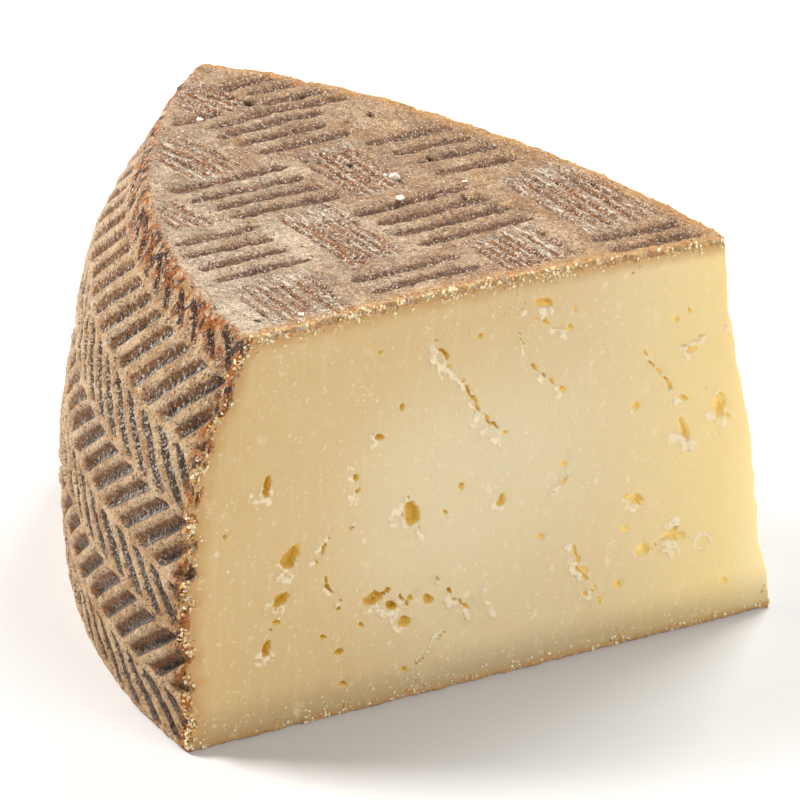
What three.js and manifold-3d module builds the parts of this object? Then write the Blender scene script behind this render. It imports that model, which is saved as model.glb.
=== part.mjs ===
// A wedge cut from a wheel of aged sheep's milk cheese, resting on one flat face of the wheel.
// Millimetres, +Z up. +X runs from the rind to the tip and the nearer cut face looks towards -Y.
// The shape is laid out round the axis of the whole wheel and moved to the middle of its own box at the end.
import * as THREE from "three";
import { mergeVertices } from "three/addons/utils/BufferGeometryUtils.js";
import Module from "manifold-3d";

const { degToRad, lerp, clamp } = THREE.MathUtils;

// The wheel: 220 mm across its barrel-shaped side, its flat face sunken a little towards the axis.
const RIM_HEIGHT = 71.8;
const SIDE_RADII = [108.1, 109.9, 109.4, 106.8, 98.9]; // evenly spaced, base to rim
const TOP_SINK = 5.6;
const TOP_SWELL = 2.8;
const RIM_ROUND = 3.2;
const BASE_ROUND = 1.6;

// The two knife cuts, as angles round the axis at the base and at the top.
const NEAR_CUT = { base: 211.5, top: 208.9 };
const FAR_CUT = { base: 149.2, top: 151.1 };
const FAR_CUT_BOW = 6.6;
const TIP_BASE = new THREE.Vector2(10.57, -9.77);
const TIP_TOP = new THREE.Vector2(-2.65, -1.68);
const TIP_WAVE = [0, 0.4, 0, 0.5, 0.6, 0.2, 0, -0.4, -0.1, 0.5]; // along the tip edge, base to top

// Middle of the wedge's box, measured from the axis of the wheel.
const BOX_MIDDLE = new THREE.Vector2(-49.68, -0.47);

const WEDGE_LENGTH = 100; // plan length that edge rounding is measured against
const LIFT = 0.8; // how far a cutter stands proud of the face it cuts

// Catmull-Rom value of evenly spaced numbers at a share from 0 to 1.
function smoothValue(values, share) {
  const points = values.map((value, index) => new THREE.Vector2(index, value));
  return new THREE.SplineCurve(points).getPoint(clamp(share, 0, 1)).y;
}

function topHeight(x, y) {
  const out = clamp(Math.hypot(x, y) / SIDE_RADII.at(-1), 0, 1);
  return RIM_HEIGHT - TOP_SINK * (1 - out * out) + TOP_SWELL * 4 * out * (1 - out);
}

function tipPoint(rise) {
  const wave = smoothValue(TIP_WAVE, rise);
  return TIP_BASE.clone().lerp(TIP_TOP, rise).add(new THREE.Vector2(wave, 0));
}

function rimPoint(across, rise) {
  const near = lerp(NEAR_CUT.base, NEAR_CUT.top, rise);
  const far = lerp(FAR_CUT.base, FAR_CUT.top, rise);
  const turn = degToRad(lerp(near, far, across));
  const radius = smoothValue(SIDE_RADII, rise);
  return new THREE.Vector2(radius * Math.cos(turn), radius * Math.sin(turn));
}

// Turns the square corner of two meeting faces into an arc. Both shares are 1 on the edge.
function roundCorner(out, rise, round) {
  const inward = (1 - out) * WEDGE_LENGTH;
  const down = (1 - rise) * RIM_HEIGHT;
  if (inward >= round || down >= round) return [out, rise];
  const a = 1 - inward / round;
  const b = 1 - down / round;
  const roundedA = a * Math.sqrt(1 - (b * b) / 2);
  const roundedB = b * Math.sqrt(1 - (a * a) / 2);
  return [1 - ((1 - roundedA) * round) / WEDGE_LENGTH, 1 - ((1 - roundedB) * round) / RIM_HEIGHT];
}

// A point of the wedge: out runs tip to rind, across runs near cut to far cut, rise runs base to top.
function wedgePoint(out, across, rise) {
  [out, rise] = roundCorner(out, rise, RIM_ROUND);
  let fall;
  [out, fall] = roundCorner(out, 1 - rise, BASE_ROUND);
  rise = 1 - fall;
  const tip = tipPoint(rise);
  const rim = rimPoint(across, rise);
  const along = rim.clone().sub(tip).normalize();
  const bow = FAR_CUT_BOW * 4 * out * (1 - out) * across;
  const plan = tip.lerp(rim, out).add(new THREE.Vector2(along.y, -along.x).multiplyScalar(bow));
  return new THREE.Vector3(plan.x, plan.y, rise * topHeight(plan.x, plan.y));
}

// Even steps from 0 to 1, with extra ones inside the rounded edges.
function steps(count, length, roundStart, roundEnd) {
  const first = roundStart / length;
  const last = 1 - roundEnd / length;
  const inner = Array.from({ length: count + 1 }, (_, i) => lerp(first, last, i / count));
  const start = roundStart ? [0, first / 2] : [];
  const end = roundEnd ? [(last + 1) / 2, 1] : [];
  return [...start, ...inner, ...end];
}

const OUT_STEPS = steps(9, WEDGE_LENGTH, 0, RIM_ROUND);
const RISE_STEPS = steps(6, RIM_HEIGHT, BASE_ROUND, RIM_ROUND);
const ACROSS_STEPS = steps(10, 1, 0, 0);

function solidOf(geometry) {
  const bare = new THREE.BufferGeometry();
  bare.setAttribute("position", geometry.getAttribute("position"));
  bare.setIndex(geometry.index);
  const merged = mergeVertices(bare, 1e-4);
  const mesh = { numProp: 3, vertProperties: merged.attributes.position.array };
  mesh.triVerts = new Uint32Array(merged.index.array);
  return new wasm.Manifold(new wasm.Mesh(mesh));
}

// Lays a grid of quads over one face of the wedge, as triangles that look outwards.
function coverFace(corners, columns, rows, place, reversed) {
  for (let i = 0; i + 1 < columns.length; i++) {
    for (let j = 0; j + 1 < rows.length; j++) {
      const a = place(columns[i], rows[j]);
      const b = place(columns[i + 1], rows[j]);
      const c = place(columns[i + 1], rows[j + 1]);
      const d = place(columns[i], rows[j + 1]);
      const quad = reversed ? [a, d, c, b] : [a, b, c, d];
      addTriangle(corners, quad[0], quad[1], quad[2]);
      addTriangle(corners, quad[0], quad[2], quad[3]);
    }
  }
}

function addTriangle(corners, a, b, c) {
  const closest = Math.min(a.distanceTo(b), b.distanceTo(c), c.distanceTo(a));
  if (closest > 1e-3) corners.push(a, b, c);
}

function wedgeBody() {
  const corners = [];
  coverFace(corners, OUT_STEPS, ACROSS_STEPS, (u, w) => wedgePoint(u, w, 1), true);
  coverFace(corners, OUT_STEPS, ACROSS_STEPS, (u, w) => wedgePoint(u, w, 0), false);
  coverFace(corners, ACROSS_STEPS, RISE_STEPS, (w, v) => wedgePoint(1, w, v), true);
  coverFace(corners, OUT_STEPS, RISE_STEPS, (u, v) => wedgePoint(u, 0, v), true);
  coverFace(corners, OUT_STEPS, RISE_STEPS, (u, v) => wedgePoint(u, 1, v), false);
  return solidOf(new THREE.BufferGeometry().setFromPoints(corners));
}

// A straight groove with sloping walls and ends, from one point to another under a face.
function grooveCutter(from, to, normal, width, depth) {
  const along = to.clone().sub(from).normalize();
  const side = normal.clone().cross(along).normalize();
  const up = along.clone().cross(side);
  const half = from.distanceTo(to) / 2;
  const middle = from.clone().add(to).multiplyScalar(0.5);
  const spread = 0.32 * width;
  const box = new THREE.BoxGeometry(2, 2, 2);
  const corner = box.getAttribute("position");
  for (let i = 0; i < corner.count; i++) {
    const above = corner.getZ(i) > 0;
    const reach = half + (above ? (spread * LIFT) / depth : -1.6 * spread);
    const sideways = above ? width / 2 + (spread * LIFT) / depth : width / 2 - spread;
    const spot = middle.clone();
    spot.addScaledVector(along, corner.getX(i) * reach);
    spot.addScaledVector(side, corner.getY(i) * sideways);
    spot.addScaledVector(up, above ? LIFT : -depth);
    corner.setXYZ(i, spot.x, spot.y, spot.z);
  }
  return solidOf(box);
}

// Blocks of side-by-side grooves that a plaited mat pressed into the flat faces of the wheel.
// Each gives the middle of its first groove, the grooves' turn and length, their number and the step between them.
const BROAD_BLOCKS = [
  { at: [-85.3, 6.1], turn: 27.5, length: 21, count: 4, step: [3.1, -3.1] },
  { at: [-81.8, 28.0], turn: 30, length: 17, count: 4, step: [3.4, -3.2] },
  { at: [-79.0, 39.0], turn: 29, length: 12, count: 4, step: [3.6, -1.9] },
  { at: [-53.5, 24.2], turn: 28, length: 17, count: 4, step: [3.7, -2.9] },
  { at: [-55.0, 2.0], turn: 31, length: 24, count: 4, step: [3.3, -3.2] },
  { at: [-87.4, -13.2], turn: 26.7, length: 18, count: 4, step: [2.1, -3.9] },
  { at: [-58.3, -21.7], turn: 31.5, length: 22, count: 2, step: [3.1, -4.3] },
  { at: [-18.5, -2.3], turn: 29, length: 17, count: 2, step: [5.0, -3.0] },
];
const NARROW_BLOCKS = [
  { at: [-94.0, 10.0], turn: -45, length: 11, count: 3, step: [2.2, 3.3] },
  { at: [-68.4, 8.9], turn: -54, length: 14, count: 4, step: [2.9, 1.4] },
  { at: [-33.5, 3.5], turn: -50, length: 16, count: 5, step: [3.6, 1.5] },
  { at: [-95.7, -6.5], turn: -47, length: 9, count: 2, step: [3.7, 0.2] },
  { at: [-71.2, -15.4], turn: -55, length: 15, count: 4, step: [2.7, 1.6] },
  { at: [-45.0, -15.5], turn: -53, length: 10, count: 4, step: [4.0, 1.9] },
  { at: [-85.6, -38.0], turn: -60, length: 9, count: 4, step: [4.4, 2.5] },
  { at: [-88.5, 31.8], turn: -43, length: 11, count: 2, step: [3.2, 2.7] },
];
const BROAD_GROOVE = { width: 2.9, depth: 1.0 };
const NARROW_GROOVE = { width: 1.9, depth: 0.8 };

function blockGrooves(block, groove, surface, normal) {
  const reach = new THREE.Vector2(block.length / 2, 0).rotateAround(new THREE.Vector2(), degToRad(block.turn));
  return Array.from({ length: block.count }, (_, index) => {
    const x = block.at[0] + index * block.step[0];
    const y = block.at[1] + index * block.step[1];
    const from = new THREE.Vector3(x - reach.x, y - reach.y, surface(x - reach.x, y - reach.y));
    const to = new THREE.Vector3(x + reach.x, y + reach.y, surface(x + reach.x, y + reach.y));
    return grooveCutter(from, to, normal, groove.width, groove.depth);
  });
}

function weaveGrooves(surface, normal, shallow) {
  const pressed = (groove) => ({ width: groove.width, depth: groove.depth * shallow });
  return [
    ...BROAD_BLOCKS.flatMap((block) => blockGrooves(block, pressed(BROAD_GROOVE), surface, normal)),
    ...NARROW_BLOCKS.flatMap((block) => blockGrooves(block, pressed(NARROW_GROOVE), surface, normal)),
  ];
}

// Zigzag rows that a plaited band pressed into the side. Heights are the row's ends, lean is sideways travel
// towards the near cut for each millimetre of rise, and start is where the first groove meets the row's foot.
const BAND_PITCH = 6.4;
const BAND_ROWS = [
  { low: 1.2, high: 9.8, lean: -1.1, start: 2.6, width: 2.0, depth: 1.1 },
  { low: 10.6, high: 21.6, lean: 1.2, start: 1.0, width: 3.3, depth: 1.5 },
  { low: 22.4, high: 30.2, lean: -1.2, start: 4.4, width: 2.0, depth: 1.2 },
  { low: 31.0, high: 42.2, lean: 1.25, start: 1.4, width: 3.3, depth: 1.6 },
  { low: 43.2, high: 52.6, lean: -1.15, start: 2.2, width: 2.0, depth: 1.2 },
  { low: 53.3, high: 64.8, lean: 1.0, start: 2.3, width: 3.3, depth: 1.5 },
];

// The point of the side at an arc distance from the far cut towards the near cut.
function sidePoint(distance, height) {
  const rise = height / RIM_HEIGHT;
  const arc = degToRad(NEAR_CUT.base - FAR_CUT.base) * SIDE_RADII[1];
  const rim = rimPoint(1 - distance / arc, rise);
  return new THREE.Vector3(rim.x, rim.y, height);
}

function bandGrooves() {
  const arc = degToRad(NEAR_CUT.base - FAR_CUT.base) * SIDE_RADII[1];
  return BAND_ROWS.flatMap((row) => {
    const travel = row.lean * (row.high - row.low);
    const grooves = [];
    for (let foot = row.start - 2 * BAND_PITCH; foot < arc + 2 * BAND_PITCH; foot += BAND_PITCH) {
      const middle = foot + travel / 2;
      if (middle < -2 || middle > arc + 2) continue;
      const from = sidePoint(foot, row.low);
      const to = sidePoint(foot + travel, row.high);
      const normal = new THREE.Vector3(from.x + to.x, from.y + to.y, 0).normalize();
      grooves.push(grooveCutter(from, to, normal, row.width, row.depth));
    }
    return grooves;
  });
}

// Eyes in the near cut: share of the way from the rind to the tip, height, half length, half width, turn.
const NEAR_EYES = [
  [0.126, 45.0, 2.0, 0.7, 85],
  [0.171, 31.5, 2.4, 1.2, 62],
  [0.156, 24.0, 1.8, 1.0, 42],
  [0.134, 15.8, 1.9, 0.7, 65],
  [0.369, 33.9, 2.1, 1.3, 118],
  [0.306, 20.2, 1.8, 1.4, 20],
  [0.335, 17.8, 1.5, 0.9, -35],
  [0.353, 14.5, 1.1, 1.0, 0],
  [0.394, 17.5, 1.0, 0.7, -50],
  [0.249, 20.0, 0.6, 0.6, 0],
  [0.246, 12.0, 0.9, 0.6, 25],
  [0.247, 5.8, 0.7, 0.6, 10],
  [0.344, 5.7, 0.6, 0.6, 0],
  [0.513, 32.3, 1.4, 0.9, 45],
  [0.450, 36.7, 0.6, 0.7, 0],
  [0.346, 53.0, 0.6, 0.8, 0],
  [0.309, 48.8, 1.1, 0.6, -20],
  [0.577, 24.0, 0.7, 0.6, -30],
  [0.737, 27.0, 1.7, 0.9, -32],
  [0.718, 21.6, 0.7, 0.6, 0],
  [0.745, 17.2, 1.2, 1.0, 30],
  [0.800, 18.2, 1.8, 0.9, -10],
  [0.698, 11.6, 0.8, 0.7, 20],
  [0.871, 7.5, 0.7, 0.6, 60],
  [0.621, 36.4, 0.7, 0.6, 20],
  [0.625, 49.9, 1.1, 0.6, -30],
  [0.753, 44.0, 1.0, 0.7, 20],
  [0.858, 52.2, 1.3, 0.6, 10],
  [0.832, 37.4, 2.2, 0.7, 100],
  [0.897, 41.0, 2.0, 0.9, 80],
  [0.582, 66.0, 2.0, 0.6, -12],
  [0.638, 60.5, 0.9, 0.6, -30],
];

// Cracks in the near cut, each a run of points given like the eyes' places.
const CRACKS = [
  [[0.381, 62.3], [0.45, 54.2], [0.482, 48.6], [0.522, 43.2]],
  [[0.54, 61.6], [0.567, 56.0], [0.612, 50.6]],
  [[0.768, 50.0], [0.785, 47.2], [0.815, 44.6]],
  [[0.63, 21.8], [0.652, 18.2], [0.648, 14.2], [0.665, 7.2]],
  [[0.212, 29.0], [0.236, 23.4]],
];
const CRACK = { width: 1.0, depth: 1.3 };

// The eyes of the far cut are strewn by a golden-ratio sequence, alike in number and size to the near cut's.
const FAR_EYES = 16;
const GOLDEN = 0.618034;

function cutPoint(across, fromRind, height) {
  const rise = height / RIM_HEIGHT;
  return wedgePoint(1 - fromRind, across, rise);
}

// The outward direction of a cut face and the direction along it towards the tip.
function cutFrame(across, fromRind, height) {
  const here = cutPoint(across, fromRind, height);
  const along = cutPoint(across, fromRind + 0.02, height).sub(here).normalize();
  const up = cutPoint(across, fromRind, height + 1).sub(here).normalize();
  const normal = along.clone().cross(up).normalize();
  if (across > 0.5) normal.negate();
  return { here, along, normal };
}

function eyeCutter(across, [fromRind, height, halfLength, halfWidth, turn]) {
  const { here, along, normal } = cutFrame(across, fromRind, height);
  const up = normal.clone().cross(along);
  const lump = new THREE.IcosahedronGeometry(1, halfLength > 1.2 ? 1 : 0);
  lump.scale(halfLength, halfWidth, Math.max(1.1, 0.9 * halfLength));
  lump.rotateZ(degToRad(turn));
  const place = new THREE.Matrix4().makeBasis(along, up, normal);
  lump.applyMatrix4(place.setPosition(here.addScaledVector(normal, -0.25)));
  return solidOf(lump);
}

function crackCutters(run) {
  return run.slice(1).map((end, index) => {
    const start = run[index];
    const { normal } = cutFrame(0, (start[0] + end[0]) / 2, (start[1] + end[1]) / 2);
    return grooveCutter(cutPoint(0, ...start), cutPoint(0, ...end), normal, CRACK.width, CRACK.depth);
  });
}

function farEyes() {
  return Array.from({ length: FAR_EYES }, (_, index) => {
    const spread = (index * GOLDEN) % 1;
    const size = 0.7 + 1.3 * ((index * GOLDEN * GOLDEN + 0.3) % 1) ** 2;
    const place = [0.1 + 0.8 * spread, 7 + (58 * (index + 0.5)) / FAR_EYES];
    return [...place, size, 0.65 * size, 137.5 * index];
  });
}

// A small hole in the rind of the top.
const PITS = [
  { at: [-79.2, 32.7], size: 1.1 },
  { at: [-82.3, 34.8], size: 0.6 },
];

function pitCutter({ at, size }) {
  const pit = new THREE.IcosahedronGeometry(size, 0);
  pit.translate(at[0], at[1], topHeight(...at));
  return solidOf(pit);
}

const wasm = await Module();
wasm.setup();

const cutters = [
  ...weaveGrooves(topHeight, new THREE.Vector3(0, 0, 1), 1),
  ...bandGrooves(),
  ...NEAR_EYES.map((eye) => eyeCutter(0, eye)),
  ...farEyes().map((eye) => eyeCutter(1, eye)),
  ...CRACKS.flatMap(crackCutters),
  ...PITS.map(pitCutter),
];
const wedge = cutters.reduce((body, cutter) => body.subtract(cutter), wedgeBody());

const cut = wedge.getMesh();
const geometry = new THREE.BufferGeometry();
geometry.setAttribute("position", new THREE.BufferAttribute(cut.vertProperties, 3));
geometry.setIndex(new THREE.BufferAttribute(cut.triVerts, 1));
geometry.translate(-BOX_MIDDLE.x, -BOX_MIDDLE.y, 0);
geometry.computeVertexNormals();

const cheese = new THREE.MeshStandardMaterial({ color: 0xd9c08c, roughness: 0.6, metalness: 0 });
cheese.flatShading = true;

const mesh = new THREE.Mesh(geometry, cheese);
mesh.name = "manchego_wedge";

const group = new THREE.Group();
group.add(mesh);

export default group;
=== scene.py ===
"""Looks of a wedge cut from a wheel of aged sheep's milk cheese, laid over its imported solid.

The shape is worked out in millimetres round the axis of the whole wheel, as the solid is, and only the
finished points are moved into the frame, in metres.
"""

import logging
import math
from dataclasses import dataclass, field
from enum import Enum
from typing import Any, Sequence

import bmesh
import bpy
import numpy as np
from mathutils import Matrix, Vector


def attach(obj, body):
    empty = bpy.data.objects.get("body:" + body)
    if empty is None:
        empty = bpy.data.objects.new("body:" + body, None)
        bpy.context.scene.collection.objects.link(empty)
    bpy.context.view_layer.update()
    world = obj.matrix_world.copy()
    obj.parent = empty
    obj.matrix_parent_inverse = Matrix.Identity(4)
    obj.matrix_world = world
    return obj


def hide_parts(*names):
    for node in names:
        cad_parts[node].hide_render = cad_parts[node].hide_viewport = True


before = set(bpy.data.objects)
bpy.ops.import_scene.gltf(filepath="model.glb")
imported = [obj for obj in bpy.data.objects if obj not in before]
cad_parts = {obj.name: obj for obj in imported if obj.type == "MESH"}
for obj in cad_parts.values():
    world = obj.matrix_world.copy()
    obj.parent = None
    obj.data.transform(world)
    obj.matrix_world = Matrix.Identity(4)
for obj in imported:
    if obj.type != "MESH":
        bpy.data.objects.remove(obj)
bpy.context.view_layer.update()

log = logging.getLogger("wedge")

MM = 0.001
# The attributes that a strewn piece keeps, since the others only served to strew it
KEPT_ATTRIBUTES = {"tint", "sharp_edge", "material_index"}
Array = np.ndarray
Triple = tuple[float, float, float]
Colour = Triple


def smooth(share: Array) -> Array:
    """Eases a share from 0 to 1, held at both ends."""
    held = np.clip(share, 0.0, 1.0)
    return held * held * (3.0 - 2.0 * held)


def lerp(start: Any, end: Any, share: Any) -> Any:
    """The value at a share of the way from start to end."""
    return start + (end - start) * share


def catmull_rom(values: Sequence[float], share: Array) -> Array:
    """A smooth curve through evenly spaced values.

    Args:
        values: The values to pass through.
        share: Places along the curve, from 0 to 1.

    Returns:
        The curve's value at each place.
    """
    knots = np.asarray(values, dtype=float)
    place = np.clip(share, 0.0, 1.0) * (len(knots) - 1)
    start = np.minimum(place.astype(int), len(knots) - 2)
    t = place - start
    before = knots[np.maximum(start - 1, 0)]
    here = knots[start]
    ahead = knots[start + 1]
    beyond = knots[np.minimum(start + 2, len(knots) - 1)]
    slope_here = 0.5 * (ahead - before)
    slope_ahead = 0.5 * (beyond - here)
    cubic = 2.0 * here - 2.0 * ahead + slope_here + slope_ahead
    square = -3.0 * here + 3.0 * ahead - 2.0 * slope_here - slope_ahead
    return cubic * t**3 + square * t**2 + slope_here * t + here


def trough(place: Array, deepest: float) -> Array:
    """The cross section of a groove that is steeper on one side.

    Args:
        place: Places across the groove, from -1 to 1.
        deepest: Where the groove is deepest, from -1 to 1.

    Returns:
        1 where the groove is deepest, falling to 0 at both borders.
    """
    rising = smooth((place + 1.0) / (deepest + 1.0))
    falling = smooth((1.0 - place) / (1.0 - deepest))
    return np.minimum(rising, falling)


class LatticeNoise:
    """Smooth seeded noise for moving points, on a lattice that repeats."""

    CELLS = 48

    def __init__(self, seed: int) -> None:
        """Draws the lattice's values from a seed."""
        draw = np.random.default_rng(seed)
        self.values = draw.uniform(-1.0, 1.0, (self.CELLS,) * 3).astype(np.float32)

    def at(self, points: Array, size: float) -> Array:
        """Noise from -1 to 1 at points.

        Args:
            points: An n by 3 array of places.
            size: Length of one lump of the noise.

        Returns:
            One value for each point.
        """
        scaled = points / size
        cell = np.floor(scaled).astype(np.int64)
        x, y, z = (scaled - cell).T
        x, y, z = smooth(x), smooth(y), smooth(z)
        low = cell % self.CELLS
        high = (low + 1) % self.CELLS
        x0, y0, z0 = low.T
        x1, y1, z1 = high.T
        v = self.values
        floor = lerp(lerp(v[x0, y0, z0], v[x1, y0, z0], x), lerp(v[x0, y1, z0], v[x1, y1, z0], x), y)
        roof = lerp(lerp(v[x0, y0, z1], v[x1, y0, z1], x), lerp(v[x0, y1, z1], v[x1, y1, z1], x), y)
        return lerp(floor, roof, z)

    def layered(self, points: Array, size: float, layers: int, gain: float = 0.5) -> Array:
        """Noise of several sizes, each layer half as long and gain times as strong as the last."""
        total = np.zeros(len(points))
        for layer in range(layers):
            shift = 17.3 * layer
            total += gain**layer * self.at(points + shift, size / 2**layer)
        return total


class Face(Enum):
    """The faces of the wedge."""

    TOP = "top"
    BASE = "base"
    SIDE = "side"
    NEAR_CUT = "near cut"
    FAR_CUT = "far cut"


@dataclass(frozen=True)
class WheelForm:
    """The wheel and the two knife cuts, in millimetres and degrees, as the solid has them."""

    rim_height: float = 71.8
    side_radii: tuple[float, ...] = (108.1, 109.9, 109.4, 106.8, 98.9)
    top_sink: float = 5.6
    top_swell: float = 2.8
    rim_round: float = 1.9
    base_round: float = 1.1
    cut_round: float = 0.6
    near_base: float = 211.5
    near_top: float = 208.9
    far_base: float = 149.2
    far_top: float = 151.1
    far_bow: float = 6.6
    tip_base: tuple[float, float] = (10.57, -9.77)
    tip_top: tuple[float, float] = (-2.65, -1.68)
    tip_wave: tuple[float, ...] = (0, 0.4, 0, 0.5, 0.6, 0.2, 0, -0.4, -0.1, 0.5)
    box_middle: tuple[float, float] = (-49.68, -0.47)
    wedge_length: float = 100.0

    @property
    def arc(self) -> float:
        """Length of the side between the cuts, at the belly."""
        return math.radians(self.near_base - self.far_base) * self.side_radii[1]

    def top_height(self, x: Array, y: Array) -> Array:
        """Height of the upper flat face over a place in plan."""
        out = np.clip(np.hypot(x, y) / self.side_radii[-1], 0.0, 1.0)
        return self.rim_height - self.top_sink * (1 - out * out) + self.top_swell * 4 * out * (1 - out)

    def tip(self, rise: Array) -> Array:
        """Plan points of the tip edge at shares of the height."""
        line = lerp(np.array(self.tip_base), np.array(self.tip_top), rise[:, None])
        line[:, 0] += catmull_rom(self.tip_wave, rise)
        return line

    def rim(self, across: Array, rise: Array) -> Array:
        """Plan points of the barrel-shaped side."""
        near = lerp(self.near_base, self.near_top, rise)
        far = lerp(self.far_base, self.far_top, rise)
        turn = np.radians(lerp(near, far, across))
        radius = catmull_rom(self.side_radii, rise)
        return np.stack([radius * np.cos(turn), radius * np.sin(turn)], axis=1)

    def rounded(self, first: Array, second: Array, radius: Array | float) -> tuple[Array, Array]:
        """Bends the square corner where two faces meet into an arc.

        Args:
            first: Distances from the first face.
            second: Distances from the second face.
            radius: The arc's radius.

        Returns:
            The two distances after rounding.
        """
        inside = (first < radius) & (second < radius)
        a = np.where(inside, 1.0 - first / np.maximum(radius, 1e-6), 0.0)
        b = np.where(inside, 1.0 - second / np.maximum(radius, 1e-6), 0.0)
        new_first = (1.0 - a * np.sqrt(1.0 - b * b / 2.0)) * radius
        new_second = (1.0 - b * np.sqrt(1.0 - a * a / 2.0)) * radius
        return np.where(inside, new_first, first), np.where(inside, new_second, second)

    def shaped(self, out: Array, across: Array, rise: Array) -> tuple[Array, Array, Array]:
        """Shares after the rim, the foot and the cut edges are rounded."""
        length, height = self.wedge_length, self.rim_height
        side, top = self.rounded((1 - out) * length, (1 - rise) * height, self.rim_round)
        side, base = self.rounded(side, height - top, self.base_round)
        width = np.maximum(out * self.arc, 1e-6)
        sharp = np.minimum(self.cut_round, 0.25 * width)
        near = across * width
        near, top = self.rounded(near, height - base, sharp)
        near, base = self.rounded(near, height - top, sharp)
        near, side = self.rounded(near, side, sharp)
        far, top = self.rounded(width - near, height - base, sharp)
        far, base = self.rounded(far, height - top, sharp)
        far, side = self.rounded(far, side, sharp)
        return 1 - side / length, 1 - far / width, base / height

    def points(self, out: Array, across: Array, rise: Array) -> Array:
        """Points of the wedge before any relief.

        Args:
            out: Shares of the way from the tip to the rind.
            across: Shares of the way from the near cut to the far cut.
            rise: Shares of the height.

        Returns:
            An n by 3 array in millimetres, round the wheel's axis.
        """
        tip = self.tip(rise)
        rim = self.rim(across, rise)
        along = rim - tip
        along /= np.linalg.norm(along, axis=1)[:, None]
        outward = np.stack([along[:, 1], -along[:, 0]], axis=1)
        bow = self.far_bow * 4 * out * (1 - out) * across
        plan = lerp(tip, rim, out[:, None]) + outward * bow[:, None]
        height = rise * self.top_height(plan[:, 0], plan[:, 1])
        return np.column_stack([plan, height])

    def framed(self, points: Array) -> Array:
        """Moves points from the wheel's axis in millimetres into the frame in metres."""
        return (points - np.array([*self.box_middle, 0.0])) * MM


@dataclass(frozen=True)
class GrooveBlock:
    """Side-by-side straight grooves: the block's middle and turn, and each groove's offset, start and end."""

    middle: tuple[float, float]
    turn: float
    grooves: tuple[Triple, ...]
    deepest_at: float = -0.35
    margin: float = 1.6

    def pressed(self, x: Array, y: Array, width: float) -> tuple[Array, Array, Array]:
        """How the block's grooves press each place.

        Args:
            x: Places in plan, round the wheel's axis.
            y: The same places' other coordinate.
            width: Width of one groove.

        Returns:
            The shares of a groove's floor, of its front half and of the block's whole area.
        """
        turn = math.radians(self.turn)
        dx, dy = x - self.middle[0], y - self.middle[1]
        along = dx * math.cos(turn) + dy * math.sin(turn)
        aside = -dx * math.sin(turn) + dy * math.cos(turn)
        low = min(groove[0] for groove in self.grooves)
        high = max(groove[0] for groove in self.grooves)
        first, last = 0.0, 0.0
        deepest, front = np.zeros(len(x)), np.zeros(len(x))
        for offset, start, end in self.grooves:
            close = (np.abs(aside - offset) < width) & (along > start - 2) & (along < end + 2)
            a, b = along[close], aside[close] - offset
            ends = smooth((np.minimum(a - start, end - a) + 0.6) / (0.9 * width))
            wall = trough(b / (0.5 * width * (0.55 + 0.45 * ends)), self.deepest_at) * ends
            half = smooth(0.5 - b / (0.35 * width))
            front[close] = np.where(wall > deepest[close], half, front[close])
            deepest[close] = np.maximum(deepest[close], wall)
            first, last = min(first, start), max(last, end)
        beside = smooth(np.minimum(aside - low + self.margin, high + self.margin - aside) / 1.4)
        area = beside * smooth(np.minimum(along - first + 1.0, last + 0.6 - along) / 1.6)
        return deepest, front, area


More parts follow.
